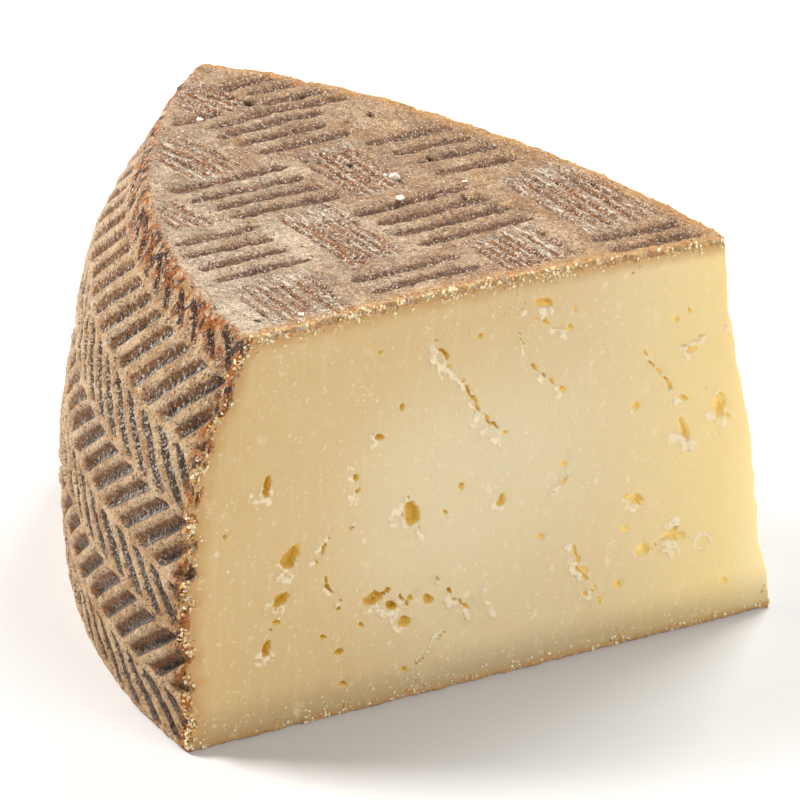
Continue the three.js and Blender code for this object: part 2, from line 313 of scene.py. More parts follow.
@dataclass(frozen=True)
class PlaitedMat:
    """The basket weave that a mat pressed into both flat faces of the wheel."""

    broad: tuple[GrooveBlock, ...] = (
        GrooveBlock(
            (-81.1, 2.2),
            27.5,
            ((5.3, -13.2, 10.4), (1.2, -12, 11.2), (-2.6, -9.4, 12.4), (-6.4, -8.6, 13)),
        ),
        GrooveBlock(
            (-77.1, 23.9),
            30,
            ((8.8, -14, -3), (4.8, -9, 9.5), (1.3, -9.6, 13), (-2.5, -8, 10.8), (-6.4, -6.8, 13)),
        ),
        GrooveBlock((-74.0, 36.9), 29, ((5.3, -9, 3), (1.8, -5.4, 7.5), (-2.2, -5.4, 9), (-5.5, -1, 12))),
        GrooveBlock(
            (-48.4, 20.6),
            28,
            ((5.8, -11.8, 7.6), (1.7, -9, 7.8), (-2.5, -7.2, 10.4), (-6.9, -6, 11)),
        ),
        GrooveBlock(
            (-50.5, -2.1),
            31,
            ((5.8, -14, 10.2), (1.7, -12.4, 11.6), (-2.3, -12, 12), (-6.6, -10.5, 14.4)),
        ),
        GrooveBlock(
            (-84.7, -18.4),
            26.7,
            ((6.1, -9.6, 7.6), (2.1, -10.4, 7.6), (-2.1, -10.2, 8), (-6.4, -9.6, 9.4)),
        ),
        GrooveBlock((-57.2, -23.2), 31.5, ((1.9, -12, 11), (-2.3, -11.2, 11.8))),
        GrooveBlock((-16.4, -3.1), 29, ((1.2, -10.8, 8), (-2.7, -9.8, 9.6))),
    )
    narrow: tuple[GrooveBlock, ...] = (
        GrooveBlock(
            (-91.6, 13.5),
            -45,
            ((4.6, -6, 8.5), (2.6, -6, 8.5), (0.3, -6.5, 8), (-2, -6, 7), (-4.3, -5, 6)),
        ),
        GrooveBlock(
            (-63.9, 11.2),
            -54,
            (
                (4.3, -6.5, 8.5), (2.3, -6, 8.5), (0.5, -6.5, 8),
                (-1.2, -7, 8), (-3.1, -7.5, 8.5), (-5, -7.5, 8),
            ),
        ),
        GrooveBlock(
            (-26.1, 6.7),
            -50,
            (
                (7.7, -5, 10), (5.6, -7, 10), (3.5, -8.5, 10), (0.6, -8, 8),
                (-2, -11.5, 8.5), (-4.2, -10, 7), (-6.9, -10.5, 6),
            ),
        ),
        GrooveBlock((-93.7, -6.2), -47, ((1.5, -3.5, 6), (-0.4, -3.5, 5.5), (-2, -3, 5), (-3.8, -2, 4))),
        GrooveBlock(
            (-67.0, -12.8),
            -55,
            (
                (4.7, -7, 8.5), (2.9, -6.5, 7.5), (1, -7, 7.5), (-0.6, -6.5, 7.5),
                (-2, -7, 7.5), (-3.5, -8.5, 8), (-5, -11, 7.5),
            ),
        ),
        GrooveBlock(
            (-38.8, -12.5),
            -53,
            (
                (7, -3, 6.5), (4.2, -4, 6.5), (1.4, -5, 6), (-0.5, -5, 5.5),
                (-2.3, -5, 5.5), (-4.6, -5.5, 6), (-6.3, -6, 5),
            ),
        ),
        GrooveBlock(
            (-78.7, -34.1),
            -60,
            (
                (7.4, -5, 9), (4.7, -4.5, 6), (1.9, -5, 6), (0, -5, 6),
                (-1.8, -5.5, 5.5), (-3.8, -7, 5.7), (-6, -4, 4),
            ),
        ),
        GrooveBlock(
            (-86.7, 33.4),
            -43,
            ((4.4, -4, 5), (2.4, -5.5, 6), (0.5, -5, 6), (-1.6, -5, 6), (-3.7, -4.5, 5)),
        ),
    )
    broad_width: float = 3.0
    broad_depth: float = 1.25
    narrow_width: float = 1.6
    narrow_depth: float = 0.62
    block_depth: float = 0.12

    def pressed(self, x: Array, y: Array) -> tuple[Array, Array, Array, Array]:
        """What the mat does to each place.

        Args:
            x: Places in plan, round the wheel's axis.
            y: The same places' other coordinate.

        Returns:
            The groove depth in millimetres, then the shares of any groove's floor, of its front half and
            of a block of narrow grooves.
        """
        depth = np.zeros(len(x))
        share = np.zeros(len(x))
        front = np.zeros(len(x))
        thin = np.zeros(len(x))
        for block in self.narrow:
            floor, half, area = block.pressed(x, y, self.narrow_width)
            front = np.where(floor > share, half, front)
            share = np.maximum(share, floor)
            depth = np.maximum(depth, floor * self.narrow_depth + self.block_depth * area)
            thin = np.maximum(thin, area)
        for block in self.broad:
            floor, half, _ = block.pressed(x, y, self.broad_width)
            front = np.where(floor > share, half, front)
            thin = thin * (1 - floor)
            share = np.maximum(share, floor)
            depth = np.maximum(depth, floor * self.broad_depth)
        return depth, share, front, thin


@dataclass(frozen=True)
class BandRow:
    """One row of the side's zigzag: its ends in height, the lean of its grooves and their place and size."""

    low: float
    high: float
    lean: float
    start: float
    width: float
    depth: float
    deepest_at: float = 0.35

    def pressed(self, distance: Array, height: Array, pitch: float) -> tuple[Array, Array]:
        """The share of a groove's floor and of its lower half, from 0 to 1, at places on the side."""
        phase = np.mod(distance - self.start - self.lean * (height - self.low) + pitch / 2, pitch) - pitch / 2
        aside = phase / math.hypot(1.0, self.lean) * math.copysign(1.0, self.lean)
        wall = trough(2.0 * aside / (1.15 * self.width), self.deepest_at)
        end = smooth((height - self.low + 0.3) / 1.2) * smooth((self.high + 0.3 - height) / 1.2)
        lower = smooth(0.5 + (aside - 0.06 * self.width) / (0.3 * self.width))
        return wall * end, lower


@dataclass(frozen=True)
class PlaitedBand:
    """The zigzag rows that a plaited band pressed into the side."""

    pitch: float = 6.4
    rows: tuple[BandRow, ...] = (
        BandRow(1.2, 9.8, -1.1, 2.6, 2.7, 1.2),
        BandRow(10.6, 21.6, 1.2, 1.0, 3.2, 1.8),
        BandRow(22.4, 30.2, -1.2, 4.4, 2.8, 1.4),
        BandRow(31.0, 42.2, 1.25, 1.4, 3.2, 1.9),
        BandRow(43.2, 52.6, -1.15, 2.2, 2.8, 1.4),
        BandRow(53.3, 64.8, 1.0, 2.3, 3.2, 1.8),
        BandRow(65.6, 70.4, -1.0, 3.2, 2.2, 0.8),
    )

    def pressed(self, distance: Array, height: Array) -> tuple[Array, Array, Array]:
        """The groove depth in millimetres and the shares of a groove's floor and lower half at each place."""
        depth = np.zeros(len(distance))
        share = np.zeros(len(distance))
        under = np.zeros(len(distance))
        for row in self.rows:
            here, lower = row.pressed(distance, height, self.pitch)
            depth = np.maximum(depth, here * row.depth)
            under = np.where(here > share, lower, under)
            share = np.maximum(share, here)
        return depth, share, under


@dataclass(frozen=True)
class Eye:
    """A hole in the paste: share of the way from the rind, height, half length, half width and turn."""

    from_rind: float
    height: float
    half_length: float
    half_width: float
    turn: float

    def nearness(self, along: Array, height: Array, length: float) -> Array:
        """Distance from the hole's middle, as 1 on its outline."""
        a = along - self.from_rind * length
        b = height - self.height
        turn = math.radians(self.turn)
        p = a * math.cos(turn) + b * math.sin(turn)
        q = -a * math.sin(turn) + b * math.cos(turn)
        return np.hypot(p / self.half_length, q / self.half_width)


NEAR_EYES: tuple[Eye, ...] = (
    Eye(0.126, 45.0, 2.0, 0.7, 85),
    Eye(0.171, 31.5, 2.4, 1.2, 62),
    Eye(0.156, 24.0, 1.8, 1.0, 42),
    Eye(0.134, 15.8, 1.9, 0.7, 65),
    Eye(0.369, 33.9, 2.1, 1.3, 118),
    Eye(0.306, 20.2, 1.8, 1.4, 20),
    Eye(0.335, 17.8, 1.5, 0.9, -35),
    Eye(0.353, 14.5, 1.1, 1.0, 0),
    Eye(0.394, 17.5, 1.0, 0.7, -50),
    Eye(0.249, 20.0, 0.6, 0.6, 0),
    Eye(0.246, 12.0, 0.9, 0.6, 25),
    Eye(0.247, 5.8, 0.7, 0.6, 10),
    Eye(0.344, 5.7, 0.6, 0.6, 0),
    Eye(0.513, 32.3, 1.4, 0.9, 45),
    Eye(0.450, 36.7, 0.6, 0.7, 0),
    Eye(0.346, 53.0, 0.6, 0.8, 0),
    Eye(0.309, 48.8, 1.1, 0.6, -20),
    Eye(0.577, 24.0, 0.7, 0.6, -30),
    Eye(0.737, 27.0, 1.7, 0.9, -32),
    Eye(0.718, 21.6, 0.7, 0.6, 0),
    Eye(0.745, 17.2, 1.2, 1.0, 30),
    Eye(0.800, 18.2, 1.8, 0.9, -10),
    Eye(0.698, 11.6, 0.8, 0.7, 20),
    Eye(0.871, 7.5, 0.7, 0.6, 60),
    Eye(0.621, 36.4, 0.7, 0.6, 20),
    Eye(0.625, 49.9, 1.1, 0.6, -30),
    Eye(0.753, 44.0, 1.0, 0.7, 20),
    Eye(0.858, 52.2, 1.3, 0.6, 10),
    Eye(0.832, 37.4, 2.2, 0.7, 100),
    Eye(0.897, 41.0, 2.0, 0.9, 80),
    Eye(0.582, 66.0, 2.0, 0.6, -12),
    Eye(0.638, 60.5, 0.9, 0.6, -30),
)


@dataclass(frozen=True)
class Scar:
    """A ragged line where the knife tore the paste: its points, widest opening and torn width."""

    run: tuple[tuple[float, float], ...]
    gape: float
    spread: float


NEAR_SCARS: tuple[Scar, ...] = (
    Scar(((0.381, 63.1), (0.451, 54.8), (0.482, 48.6), (0.521, 44.2)), 0.9, 2.4),
    Scar(((0.538, 67.0), (0.565, 63.5), (0.628, 60.0)), 0.7, 1.8),
    Scar(((0.54, 61.6), (0.567, 56.0), (0.612, 50.6)), 0.5, 1.2),
    Scar(((0.774, 52.7), (0.809, 47.3), (0.835, 43.1)), 0.8, 2.0),
    Scar(((0.901, 43.6), (0.906, 38.7)), 0.9, 1.4),
    Scar(((0.842, 53.2), (0.931, 55.3)), 0.3, 1.4),
    Scar(((0.623, 22.7), (0.644, 15.5), (0.661, 9.3)), 0.9, 2.2),
    Scar(((0.628, 34.6), (0.609, 31.4)), 0.5, 1.6),
    Scar(((0.807, 19.9), (0.761, 17.2)), 0.8, 2.0),
    Scar(((0.723, 27.7), (0.744, 25.7)), 0.6, 1.8),
    Scar(((0.27, 44.2), (0.277, 37.8)), 0.9, 1.8),
    Scar(((0.27, 33.9), (0.235, 33.5), (0.213, 29.7), (0.23, 24.7), (0.254, 20.4)), 0.5, 2.0),
    Scar(((0.362, 36.6), (0.345, 32.5), (0.385, 30.2)), 0.3, 2.8),
    Scar(((0.306, 20.0), (0.335, 21.0), (0.36, 17.0)), 0.6, 2.4),
    Scar(((0.404, 21.8), (0.436, 16.3), (0.461, 13.4)), 0.5, 2.2),
    Scar(((0.416, 11.2), (0.389, 8.2), (0.361, 6.1)), 0.3, 1.8),
    Scar(((0.488, 16.8), (0.50, 12.0)), 0.0, 1.4),
    Scar(((0.16, 25.5), (0.134, 18.0)), 0.3, 1.6),
)

NEAR_RINGS: tuple[Triple, ...] = ((0.845, 16.0, 1.6),)

FAR_SCARS: tuple[Scar, ...] = (
    Scar(((0.30, 60.0), (0.36, 51.0), (0.41, 45.0)), 0.8, 2.2),
    Scar(((0.62, 30.0), (0.655, 22.0), (0.64, 14.0)), 0.7, 2.0),
    Scar(((0.78, 55.0), (0.83, 47.0)), 0.6, 1.8),
    Scar(((0.22, 25.0), (0.25, 18.0)), 0.4, 2.4),
    Scar(((0.48, 36.0), (0.52, 31.0)), 0.5, 2.0),
)


def far_eyes(count: int = 16) -> tuple[Eye, ...]:
    """The eyes of the far cut, strewn by a golden-ratio sequence as the solid has them."""
    golden = 0.618034
    eyes = []
    for index in range(count):
        size = 0.7 + 1.3 * ((index * golden * golden + 0.3) % 1) ** 2
        place = 0.1 + 0.8 * ((index * golden) % 1)
        eyes.append(Eye(place, 7 + 58 * (index + 0.5) / count, size, 0.65 * size, 137.5 * index))
    return tuple(eyes)


@dataclass(frozen=True)
class CutMarks:
    """What shows on one cut face: eyes, pinholes and ragged scars with torn, lifted flakes."""

    eyes: tuple[Eye, ...]
    scars: tuple[Scar, ...]
    seed: int
    length: float = 114.0
    rings: tuple[Triple, ...] = ()
    pinholes: int = 12
    scar_depth: float = 0.9
    flake_lift: float = 0.17

    def small_eyes(self) -> list[Eye]:
        """Pinholes strewn at random over the cut."""
        draw = np.random.default_rng(self.seed)
        places = draw.uniform((0.06, 4.0), (0.93, 67.0), (self.pinholes, 2))
        sizes = draw.uniform(0.32, 0.5, self.pinholes)
        turns = draw.uniform(0, 180, self.pinholes)
        return [Eye(p[0], p[1], 1.4 * s, s, t) for p, s, t in zip(places, sizes, turns)]

    def carved(self, along: Array, height: Array, wobble: Array, jag: Array) -> tuple[Array, Array, Array]:
        """Works out how the marks sink and lift the cut.

        Args:
            along: Distances from the rind in millimetres.
            height: Heights in millimetres.
            wobble: Broad noise that makes the outlines uneven.
            jag: Fine noise that makes the outlines and the flakes ragged.

        Returns:
            The depth in millimetres, the share of a hole and the share of torn paste at each place.
        """
        depth = np.zeros(len(along))
        hole = np.zeros(len(along))
        torn = np.zeros(len(along))
        for eye in (*self.eyes, *self.small_eyes()):
            reach = 1.8 * eye.half_length + 1.6
            close = np.hypot(along - eye.from_rind * self.length, height - eye.height) < reach
            a, h, w, j = along[close], height[close], wobble[close], jag[close]
            near = eye.nearness(a, h, self.length) * (1 + 0.35 * w) + 0.22 * j
            inside = smooth((1.0 - near) / 0.45)
            deepest = min(1.25, 0.35 + 0.5 * eye.half_length)
            depth[close] = np.maximum(depth[close], deepest * inside)
            hole[close] = np.maximum(hole[close], inside)
            below = np.hypot(a - eye.from_rind * self.length + 0.7, h - eye.height + 0.8 * eye.half_length)
            flake = smooth((eye.half_length + 0.4 - below + 1.2 * w) / 1.1)
            flake = flake * smooth((eye.half_length - 0.6) / 0.6)
            torn[close] = np.maximum(torn[close], flake * (1 - inside) * smooth(0.6 + 1.6 * j))
        for scar in self.scars:
            self.tear(scar, along, height, (wobble, jag), (depth, hole, torn))
        for from_rind, at_height, radius in self.rings:
            away = np.hypot(along - from_rind * self.length, height - at_height)
            ring = np.abs(away - radius + 0.3 * wobble)
            torn = np.maximum(torn, smooth((0.45 - ring) / 0.25) * smooth(0.8 + 1.4 * jag))
        depth -= self.flake_lift * torn * (1 - hole) * (0.7 + 0.8 * jag)
        return depth, hole, torn

    def tear(
        self,
        scar: Scar,
        along: Array,
        height: Array,
        noises: tuple[Array, Array],
        fields: tuple[Array, Array, Array],
    ) -> None:
        """Opens one scar along its run of points and roughens its borders.

        Args:
            scar: The scar.
            along: Distances from the rind in millimetres.
            height: Heights in millimetres.
            noises: The broad and the fine noise.
            fields: The depth, hole and torn fields, changed in place.
        """
        depth, hole, torn = fields
        for start, end in zip(scar.run, scar.run[1:]):
            a = np.array([start[0] * self.length, start[1]])
            b = np.array([end[0] * self.length, end[1]])
            span = b - a
            reach = float(np.hypot(*span))
            close = np.hypot(along - (a[0] + b[0]) / 2, height - (a[1] + b[1]) / 2) < reach / 2 + 3.5
            wobble, jag = noises[0][close], noises[1][close]
            away = np.stack([along[close] - a[0], height[close] - a[1]], axis=1)
            share = np.clip(away @ span / reach**2, 0, 1)
            miss = away - share[:, None] * span
            square = miss @ np.array([-span[1], span[0]]) / reach
            beyond = np.hypot(miss[:, 0], miss[:, 1]) - np.abs(square)
            side = square + 0.6 * wobble + 0.2 * jag
            ends = smooth(1 - 2 * beyond)
            gape = scar.gape * np.clip(1.5 * np.sin(share * reach * 0.5 + 4 * wobble) - 0.3, 0.05, 1.2)
            inside = smooth((gape - side) / (0.7 * gape)) * smooth((side + 0.12) / 0.15) * ends
            depth[close] = np.maximum(depth[close], self.scar_depth * inside * smooth(gape / 0.5))
            hole[close] = np.maximum(hole[close], inside * smooth((gape - 0.25) / 0.2))
            lip = np.clip(0.5 + 1.1 * wobble, 0.1, 1.1) * 0.8 * scar.spread
            border = smooth((side + lip) / 0.45) * smooth((0.12 - side) / 0.15) * ends
            torn[close] = np.maximum(torn[close], border * smooth(0.7 + 1.2 * jag + 0.5 * wobble))


@dataclass
class WedgeSkin:
    """The wedge's whole surface as one dense closed mesh, with the marks that its finish reads."""

    form: WheelForm = field(default_factory=WheelForm)
    mat: PlaitedMat = field(default_factory=PlaitedMat)
    band: PlaitedBand = field(default_factory=PlaitedBand)
    spacing: float = 0.3
    grid_length: float = 110.0
    cut_length: float = 108.0
    crumbly_width: float = 2.4
    blunt_length: float = 3.0
    fine_relief: float = 0.17
    broad_relief: float = 0.25
    grain_relief: float = 0.09
    base_depth: float = 0.45
    most_triangles: int = 196_000
    reach: float = 6.0
    seed: int = 11
    rind_depths: tuple[tuple[Face, float], ...] = ((Face.TOP, 1.1), (Face.SIDE, 1.5), (Face.BASE, 0.6))
    top_pits: tuple[Triple, ...] = (
        (-79.2, 32.7, 1.1),
        (-82.3, 34.8, 0.7),
        (-69.8, 36.3, 0.6),
        (-59.0, 30.5, 0.7),
        (-84.0, -41.5, 0.6),
        (-50.3, 17.4, 0.5),
        (-64.0, 13.2, 0.6),
        (-46.0, 4.0, 0.5),
    )

    def steps(self, length: float) -> Array:
        """Whole numbers from 0 to the number of grid steps in a length."""
        return np.arange(int(round(length / self.spacing)) + 1)

    def build(self, name: str) -> bpy.types.Object:
        """Makes the wedge.

        Args:
            name: The object's name.

        Returns:
            The object, closed and thinned to its triangle limit.
        """
        columns, layers, rows = (
            self.steps(length) for length in (self.grid_length, self.form.arc, self.form.rim_height)
        )
        keys, triangles = self.grid(len(columns), len(layers), len(rows))
        out = keys[0] / columns[-1]
        across = keys[1] / layers[-1]
        rise = keys[2] / rows[-1]
        points, marks = self.carve(out, across, rise)
        mesh = mesh_from(name, self.form.framed(points), triangles)
        for label, values in marks.items():
            set_mark(mesh, label, values)
        piece = add_object(name, mesh)
        if len(triangles) > self.most_triangles:
            thin(piece, self.most_triangles / len(triangles))
        finish_shading(piece.data)
        return piece

    def grid(self, columns: int, layers: int, rows: int) -> tuple[Array, Array]:
        """Numbers the surface points of a block of cells and joins them by triangles.

        Args:
            columns: Points from the tip to the rind.
            layers: Points from the near cut to the far cut.
            rows: Points from the base to the top.

        Returns:
            A 3 by n array of column, layer and row, and the triangles' point numbers.
        """
        i, j, k = np.arange(columns), np.arange(layers), np.arange(rows)
        faces = (
            (i[:, None], j[None, :], rows - 1, True),
            (i[:, None], j[None, :], 0, False),
            (columns - 1, j[:, None], k[None, :], True),
            (i[:, None], 0, k[None, :], True),
            (i[:, None], layers - 1, k[None, :], False),
        )
        triangles = []
        for column, layer, row, turned in faces:
            column, layer, row = np.broadcast_arrays(column, layer, row)
            layer = np.where(column == 0, 0, layer)
            key = (column * layers + layer) * rows + row
            a, b, c, d = key[:-1, :-1], key[1:, :-1], key[1:, 1:], key[:-1, 1:]
            corners = (a, d, c, b) if turned else (a, b, c, d)
            a, b, c, d = (corner.ravel() for corner in corners)
            triangles.append(np.stack([a, b, c], axis=1))
            triangles.append(np.stack([a, c, d], axis=1))
        joined = np.concatenate(triangles)
        used, numbered = np.unique(joined, return_inverse=True)
        numbered = numbered.reshape(-1, 3)
        first, second, third = numbered.T
        whole = (first != second) & (second != third) & (third != first)
        keys = np.stack([used // (layers * rows), used // rows % layers, used % rows])
        return keys, numbered[whole]

    def carve(self, out: Array, across: Array, rise: Array) -> tuple[Array, dict[str, Array]]:
        """Presses the rind's pattern, the eyes and the crumbly edges into the plain form.

        Args:
            out: Shares of the way from the tip to the rind.
            across: Shares of the way from the near cut to the far cut.
            rise: Shares of the height.

        Returns:
            The points in millimetres and the marks for the finish, by name.
        """
        form = self.form
        out, across, rise = form.shaped(out, across, rise)
        points = form.points(out, across, rise)
        noise = LatticeNoise(self.seed)
        length, width = self.cut_length, out * form.arc
        gap = {
            Face.TOP: (1 - rise) * form.rim_height,
            Face.BASE: rise * form.rim_height,
            Face.SIDE: (1 - out) * length,
            Face.NEAR_CUT: across * width,
            Face.FAR_CUT: (1 - across) * width,
        }
        fade = {face: np.clip(1 - distance / self.reach, 0, 1) for face, distance in gap.items()}
        warp = noise.at(points, 9.0) * 0.45
        fine = noise.layered(points + 40.0, 2.2, 3, 0.6)
        broad = noise.layered(points + 90.0, 16.0, 2)
        strength = 0.85 + 0.3 * noise.at(points + 5.0, 7.0)

        x, y, _ = points.T
        bend = noise.at(points + 25.0, 11.0) * 0.16 + 0.05 * fine
        top_depth, top_share, top_front, thin_share = self.mat.pressed(x + 0.5 * warp, y + bend)
        distance = (1 - across) * form.arc
        side_depth, side_share, under = self.band.pressed(distance + warp, rise * form.rim_height)
        clear_of_rim = smooth((gap[Face.SIDE] - 0.5) / 3.0)
        top_depth, top_share = top_depth * clear_of_rim, top_share * clear_of_rim

        grain = noise.at(points + 33.0, 0.8)
        rough = self.fine_relief * fine + self.broad_relief * broad + self.grain_relief * grain
        pit = self.pits(x, y)
        top_sink = top_depth * strength + rough + pit
        side_sink = side_depth * strength + rough
        cut_gap = np.minimum(gap[Face.NEAR_CUT], gap[Face.FAR_CUT])
        inner = smooth(np.minimum(gap[Face.SIDE], cut_gap) / 5)
        base_sink = (self.base_depth * top_depth * strength + np.abs(0.1 * fine)) * inner

        along = (1 - out) * length
        wobble = noise.layered(points + 60.0, 1.9, 2)
        jag = noise.at(points + 75.0, 0.75)
        near_cut = CutMarks(NEAR_EYES, NEAR_SCARS, self.seed + 1, rings=NEAR_RINGS)
        near_marks = near_cut.carved(along, gap[Face.BASE], wobble, jag)
        far_marks = CutMarks(far_eyes(), FAR_SCARS, self.seed + 2).carved(along, gap[Face.BASE], wobble, jag)
        rind_gap = np.minimum(np.minimum(gap[Face.TOP], gap[Face.BASE]), gap[Face.SIDE])
        crumbly = smooth(1 - rind_gap / self.crumbly_width)
        wave = 0.10 * broad + 0.02 * fine + crumbly * (0.2 * wobble + 0.2 * jag + 0.12)
        near_sink = near_marks[0] + wave
        far_sink = far_marks[0] + wave

        points[:, 2] -= top_sink * fade[Face.TOP]
        points[:, 2] += base_sink * fade[Face.BASE]
        radial = points[:, :2] / np.hypot(x, y)[:, None]
        points[:, :2] -= radial * (side_sink * fade[Face.SIDE] * smooth(out * 4))[:, None]
        self.push(points, rise, near_sink * fade[Face.NEAR_CUT], 0.0)
        self.push(points, rise, far_sink * fade[Face.FAR_CUT], 1.0)
        blunt = 0.75 + 0.3 * noise.layered(points * [0, 0, 1] + 3.0, 3.0, 2)
        points[:, 0] -= blunt * np.clip(1 - out * length / self.blunt_length, 0, 1) ** 2
        points[:, 2] = np.maximum(points[:, 2], 0.0)

        on_near = gap[Face.NEAR_CUT] <= gap[Face.FAR_CUT]
        on_side = smooth(1 - (gap[Face.SIDE] - 0.6) / 1.2)
        levels = [1 - gap[face] / limit for face, limit in self.rind_depths]
        flat_share = np.maximum(top_share * fade[Face.TOP], top_share * inner * fade[Face.BASE])
        marks = {
            "rind_gap": rind_gap,
            "pressed": np.maximum(flat_share, side_share * fade[Face.SIDE]),
            "rind": np.maximum(np.maximum.reduce(levels), -3.0),
            "side": on_side,
            "under": lerp(top_front, under, on_side),
            "thin": thin_share * (1 - on_side),
            "pit": smooth(pit / 0.5) * fade[Face.TOP] * (1 - on_side),
            "hole": np.where(on_near, near_marks[1], far_marks[1]) * smooth(1 - cut_gap),
            "torn": np.where(on_near, near_marks[2], far_marks[2]),
            "cut_gap": cut_gap,
            "rim_gap": np.maximum(gap[Face.TOP], gap[Face.SIDE]),
        }
        return points, marks

    def pits(self, x: Array, y: Array) -> Array:
        """Depth of the small holes in the rind of the top."""
        depth = np.zeros(len(x))
        for at_x, at_y, size in self.top_pits:
            near = np.hypot(x - at_x, y - at_y) / size
            depth = np.maximum(depth, 1.2 * size * smooth((1.1 - near) / 0.6))
        return depth

    def push(self, points: Array, rise: Array, sink: Array, across: float) -> None:
        """Moves points straight into one cut face.

        Args:
            points: The points, changed in place.
            rise: Shares of the height.
            sink: How far each point goes in.
            across: 0 for the near cut or 1 for the far cut.
        """
        line = self.form.rim(np.full(len(rise), across), rise) - self.form.tip(rise)
        line /= np.linalg.norm(line, axis=1)[:, None]
        inward = 1 - 2 * across
        points[:, 0] += inward * sink * line[:, 1]
        points[:, 1] -= inward * sink * line[:, 0]


def mesh_from(name: str, points: Array, triangles: Array) -> bpy.types.Mesh:
    """Makes a mesh from arrays of points and triangles."""
    mesh = bpy.data.meshes.new(name)
    mesh.vertices.add(len(points))
    mesh.vertices.foreach_set("co", points.astype(np.float32).ravel())
    mesh.loops.add(3 * len(triangles))
    mesh.loops.foreach_set("vertex_index", triangles.astype(np.int32).ravel())
    mesh.polygons.add(len(triangles))
    mesh.polygons.foreach_set("loop_start", np.arange(len(triangles), dtype=np.int32) * 3)
    mesh.update(calc_edges=True)
    return mesh


def set_mark(mesh: bpy.types.Mesh, name: str, values: Array) -> None:
    """Keeps a mark on the mesh, one value for each point."""
    layer = mesh.attributes.new(name, "FLOAT", "POINT")
    layer.data.foreach_set("value", values.astype(np.float32))


def add_object(name: str, data: Any) -> bpy.types.Object:
    """Adds an object with its mesh, light or camera data to the scene."""
    made = bpy.data.objects.new(name, data)
    bpy.context.scene.collection.objects.link(made)
    return made


def thin(piece: bpy.types.Object, share: float) -> None:
    """Keeps a share of a mesh's triangles, most where it is rough."""
    modifier = piece.modifiers.new("thin", "DECIMATE")
    modifier.ratio = share
    evaluated = piece.evaluated_get(bpy.context.evaluated_depsgraph_get())
    thinned = bpy.data.meshes.new_from_object(evaluated)
    piece.modifiers.remove(modifier)
    dense = piece.data
    piece.data = thinned
    bpy.data.meshes.remove(dense)
    thinned.name = piece.name


def finish_shading(mesh: bpy.types.Mesh, sharpest: float = 55.0) -> None:
    """Shades a mesh smooth, apart from edges sharper than an angle in degrees."""
    mesh.polygons.foreach_set("use_smooth", np.ones(len(mesh.polygons), dtype=bool))
    mesh.set_sharp_from_angle(angle=math.radians(sharpest))


class Wire:
    """A value in a node tree that ordinary arithmetic turns into more nodes."""

    def __init__(self, web: "Web", socket: bpy.types.NodeSocket) -> None:
        """Keeps the socket and the tree that it belongs to."""
        self.web = web
        self.socket = socket

    def __add__(self, other: "Term") -> "Wire":
        """Adds a term."""
        return self.web.maths("ADD", self, other)

    def __radd__(self, other: "Term") -> "Wire":
        """Adds to a term."""
        return self.web.maths("ADD", other, self)

    def __sub__(self, other: "Term") -> "Wire":
        """Takes a term away."""
        return self.web.maths("SUBTRACT", self, other)

    def __rsub__(self, other: "Term") -> "Wire":
        """Is taken away from a term."""
        return self.web.maths("SUBTRACT", other, self)

    def __mul__(self, other: "Term") -> "Wire":
        """Multiplies by a term."""
        return self.web.maths("MULTIPLY", self, other)

    def __rmul__(self, other: "Term") -> "Wire":
        """Multiplies a term."""
        return self.web.maths("MULTIPLY", other, self)

    def __truediv__(self, other: "Term") -> "Wire":
        """Divides by a term."""
        return self.web.maths("DIVIDE", self, other)

    def __rtruediv__(self, other: "Term") -> "Wire":
        """Divides a term."""
        return self.web.maths("DIVIDE", other, self)

    def __pow__(self, other: "Term") -> "Wire":
        """Raises to a power."""
        return self.web.maths("POWER", self, other)

    def __neg__(self) -> "Wire":
        """Changes the sign."""
        return self.web.maths("MULTIPLY", self, -1.0)

    def most(self, other: "Term") -> "Wire":
        """The larger of this and a term."""
        return self.web.maths("MAXIMUM", self, other)

    def between(self, low: float, high: float) -> "Wire":
        """Eases from 0 at low to 1 at high; low may be the larger of the two."""
        inputs = {"Value": self, "From Min": low, "From Max": high}
        made = self.web.node("ShaderNodeMapRange", inputs, interpolation_type="SMOOTHSTEP")
        return Wire(self.web, made.outputs["Result"])


Term = Wire | float | int


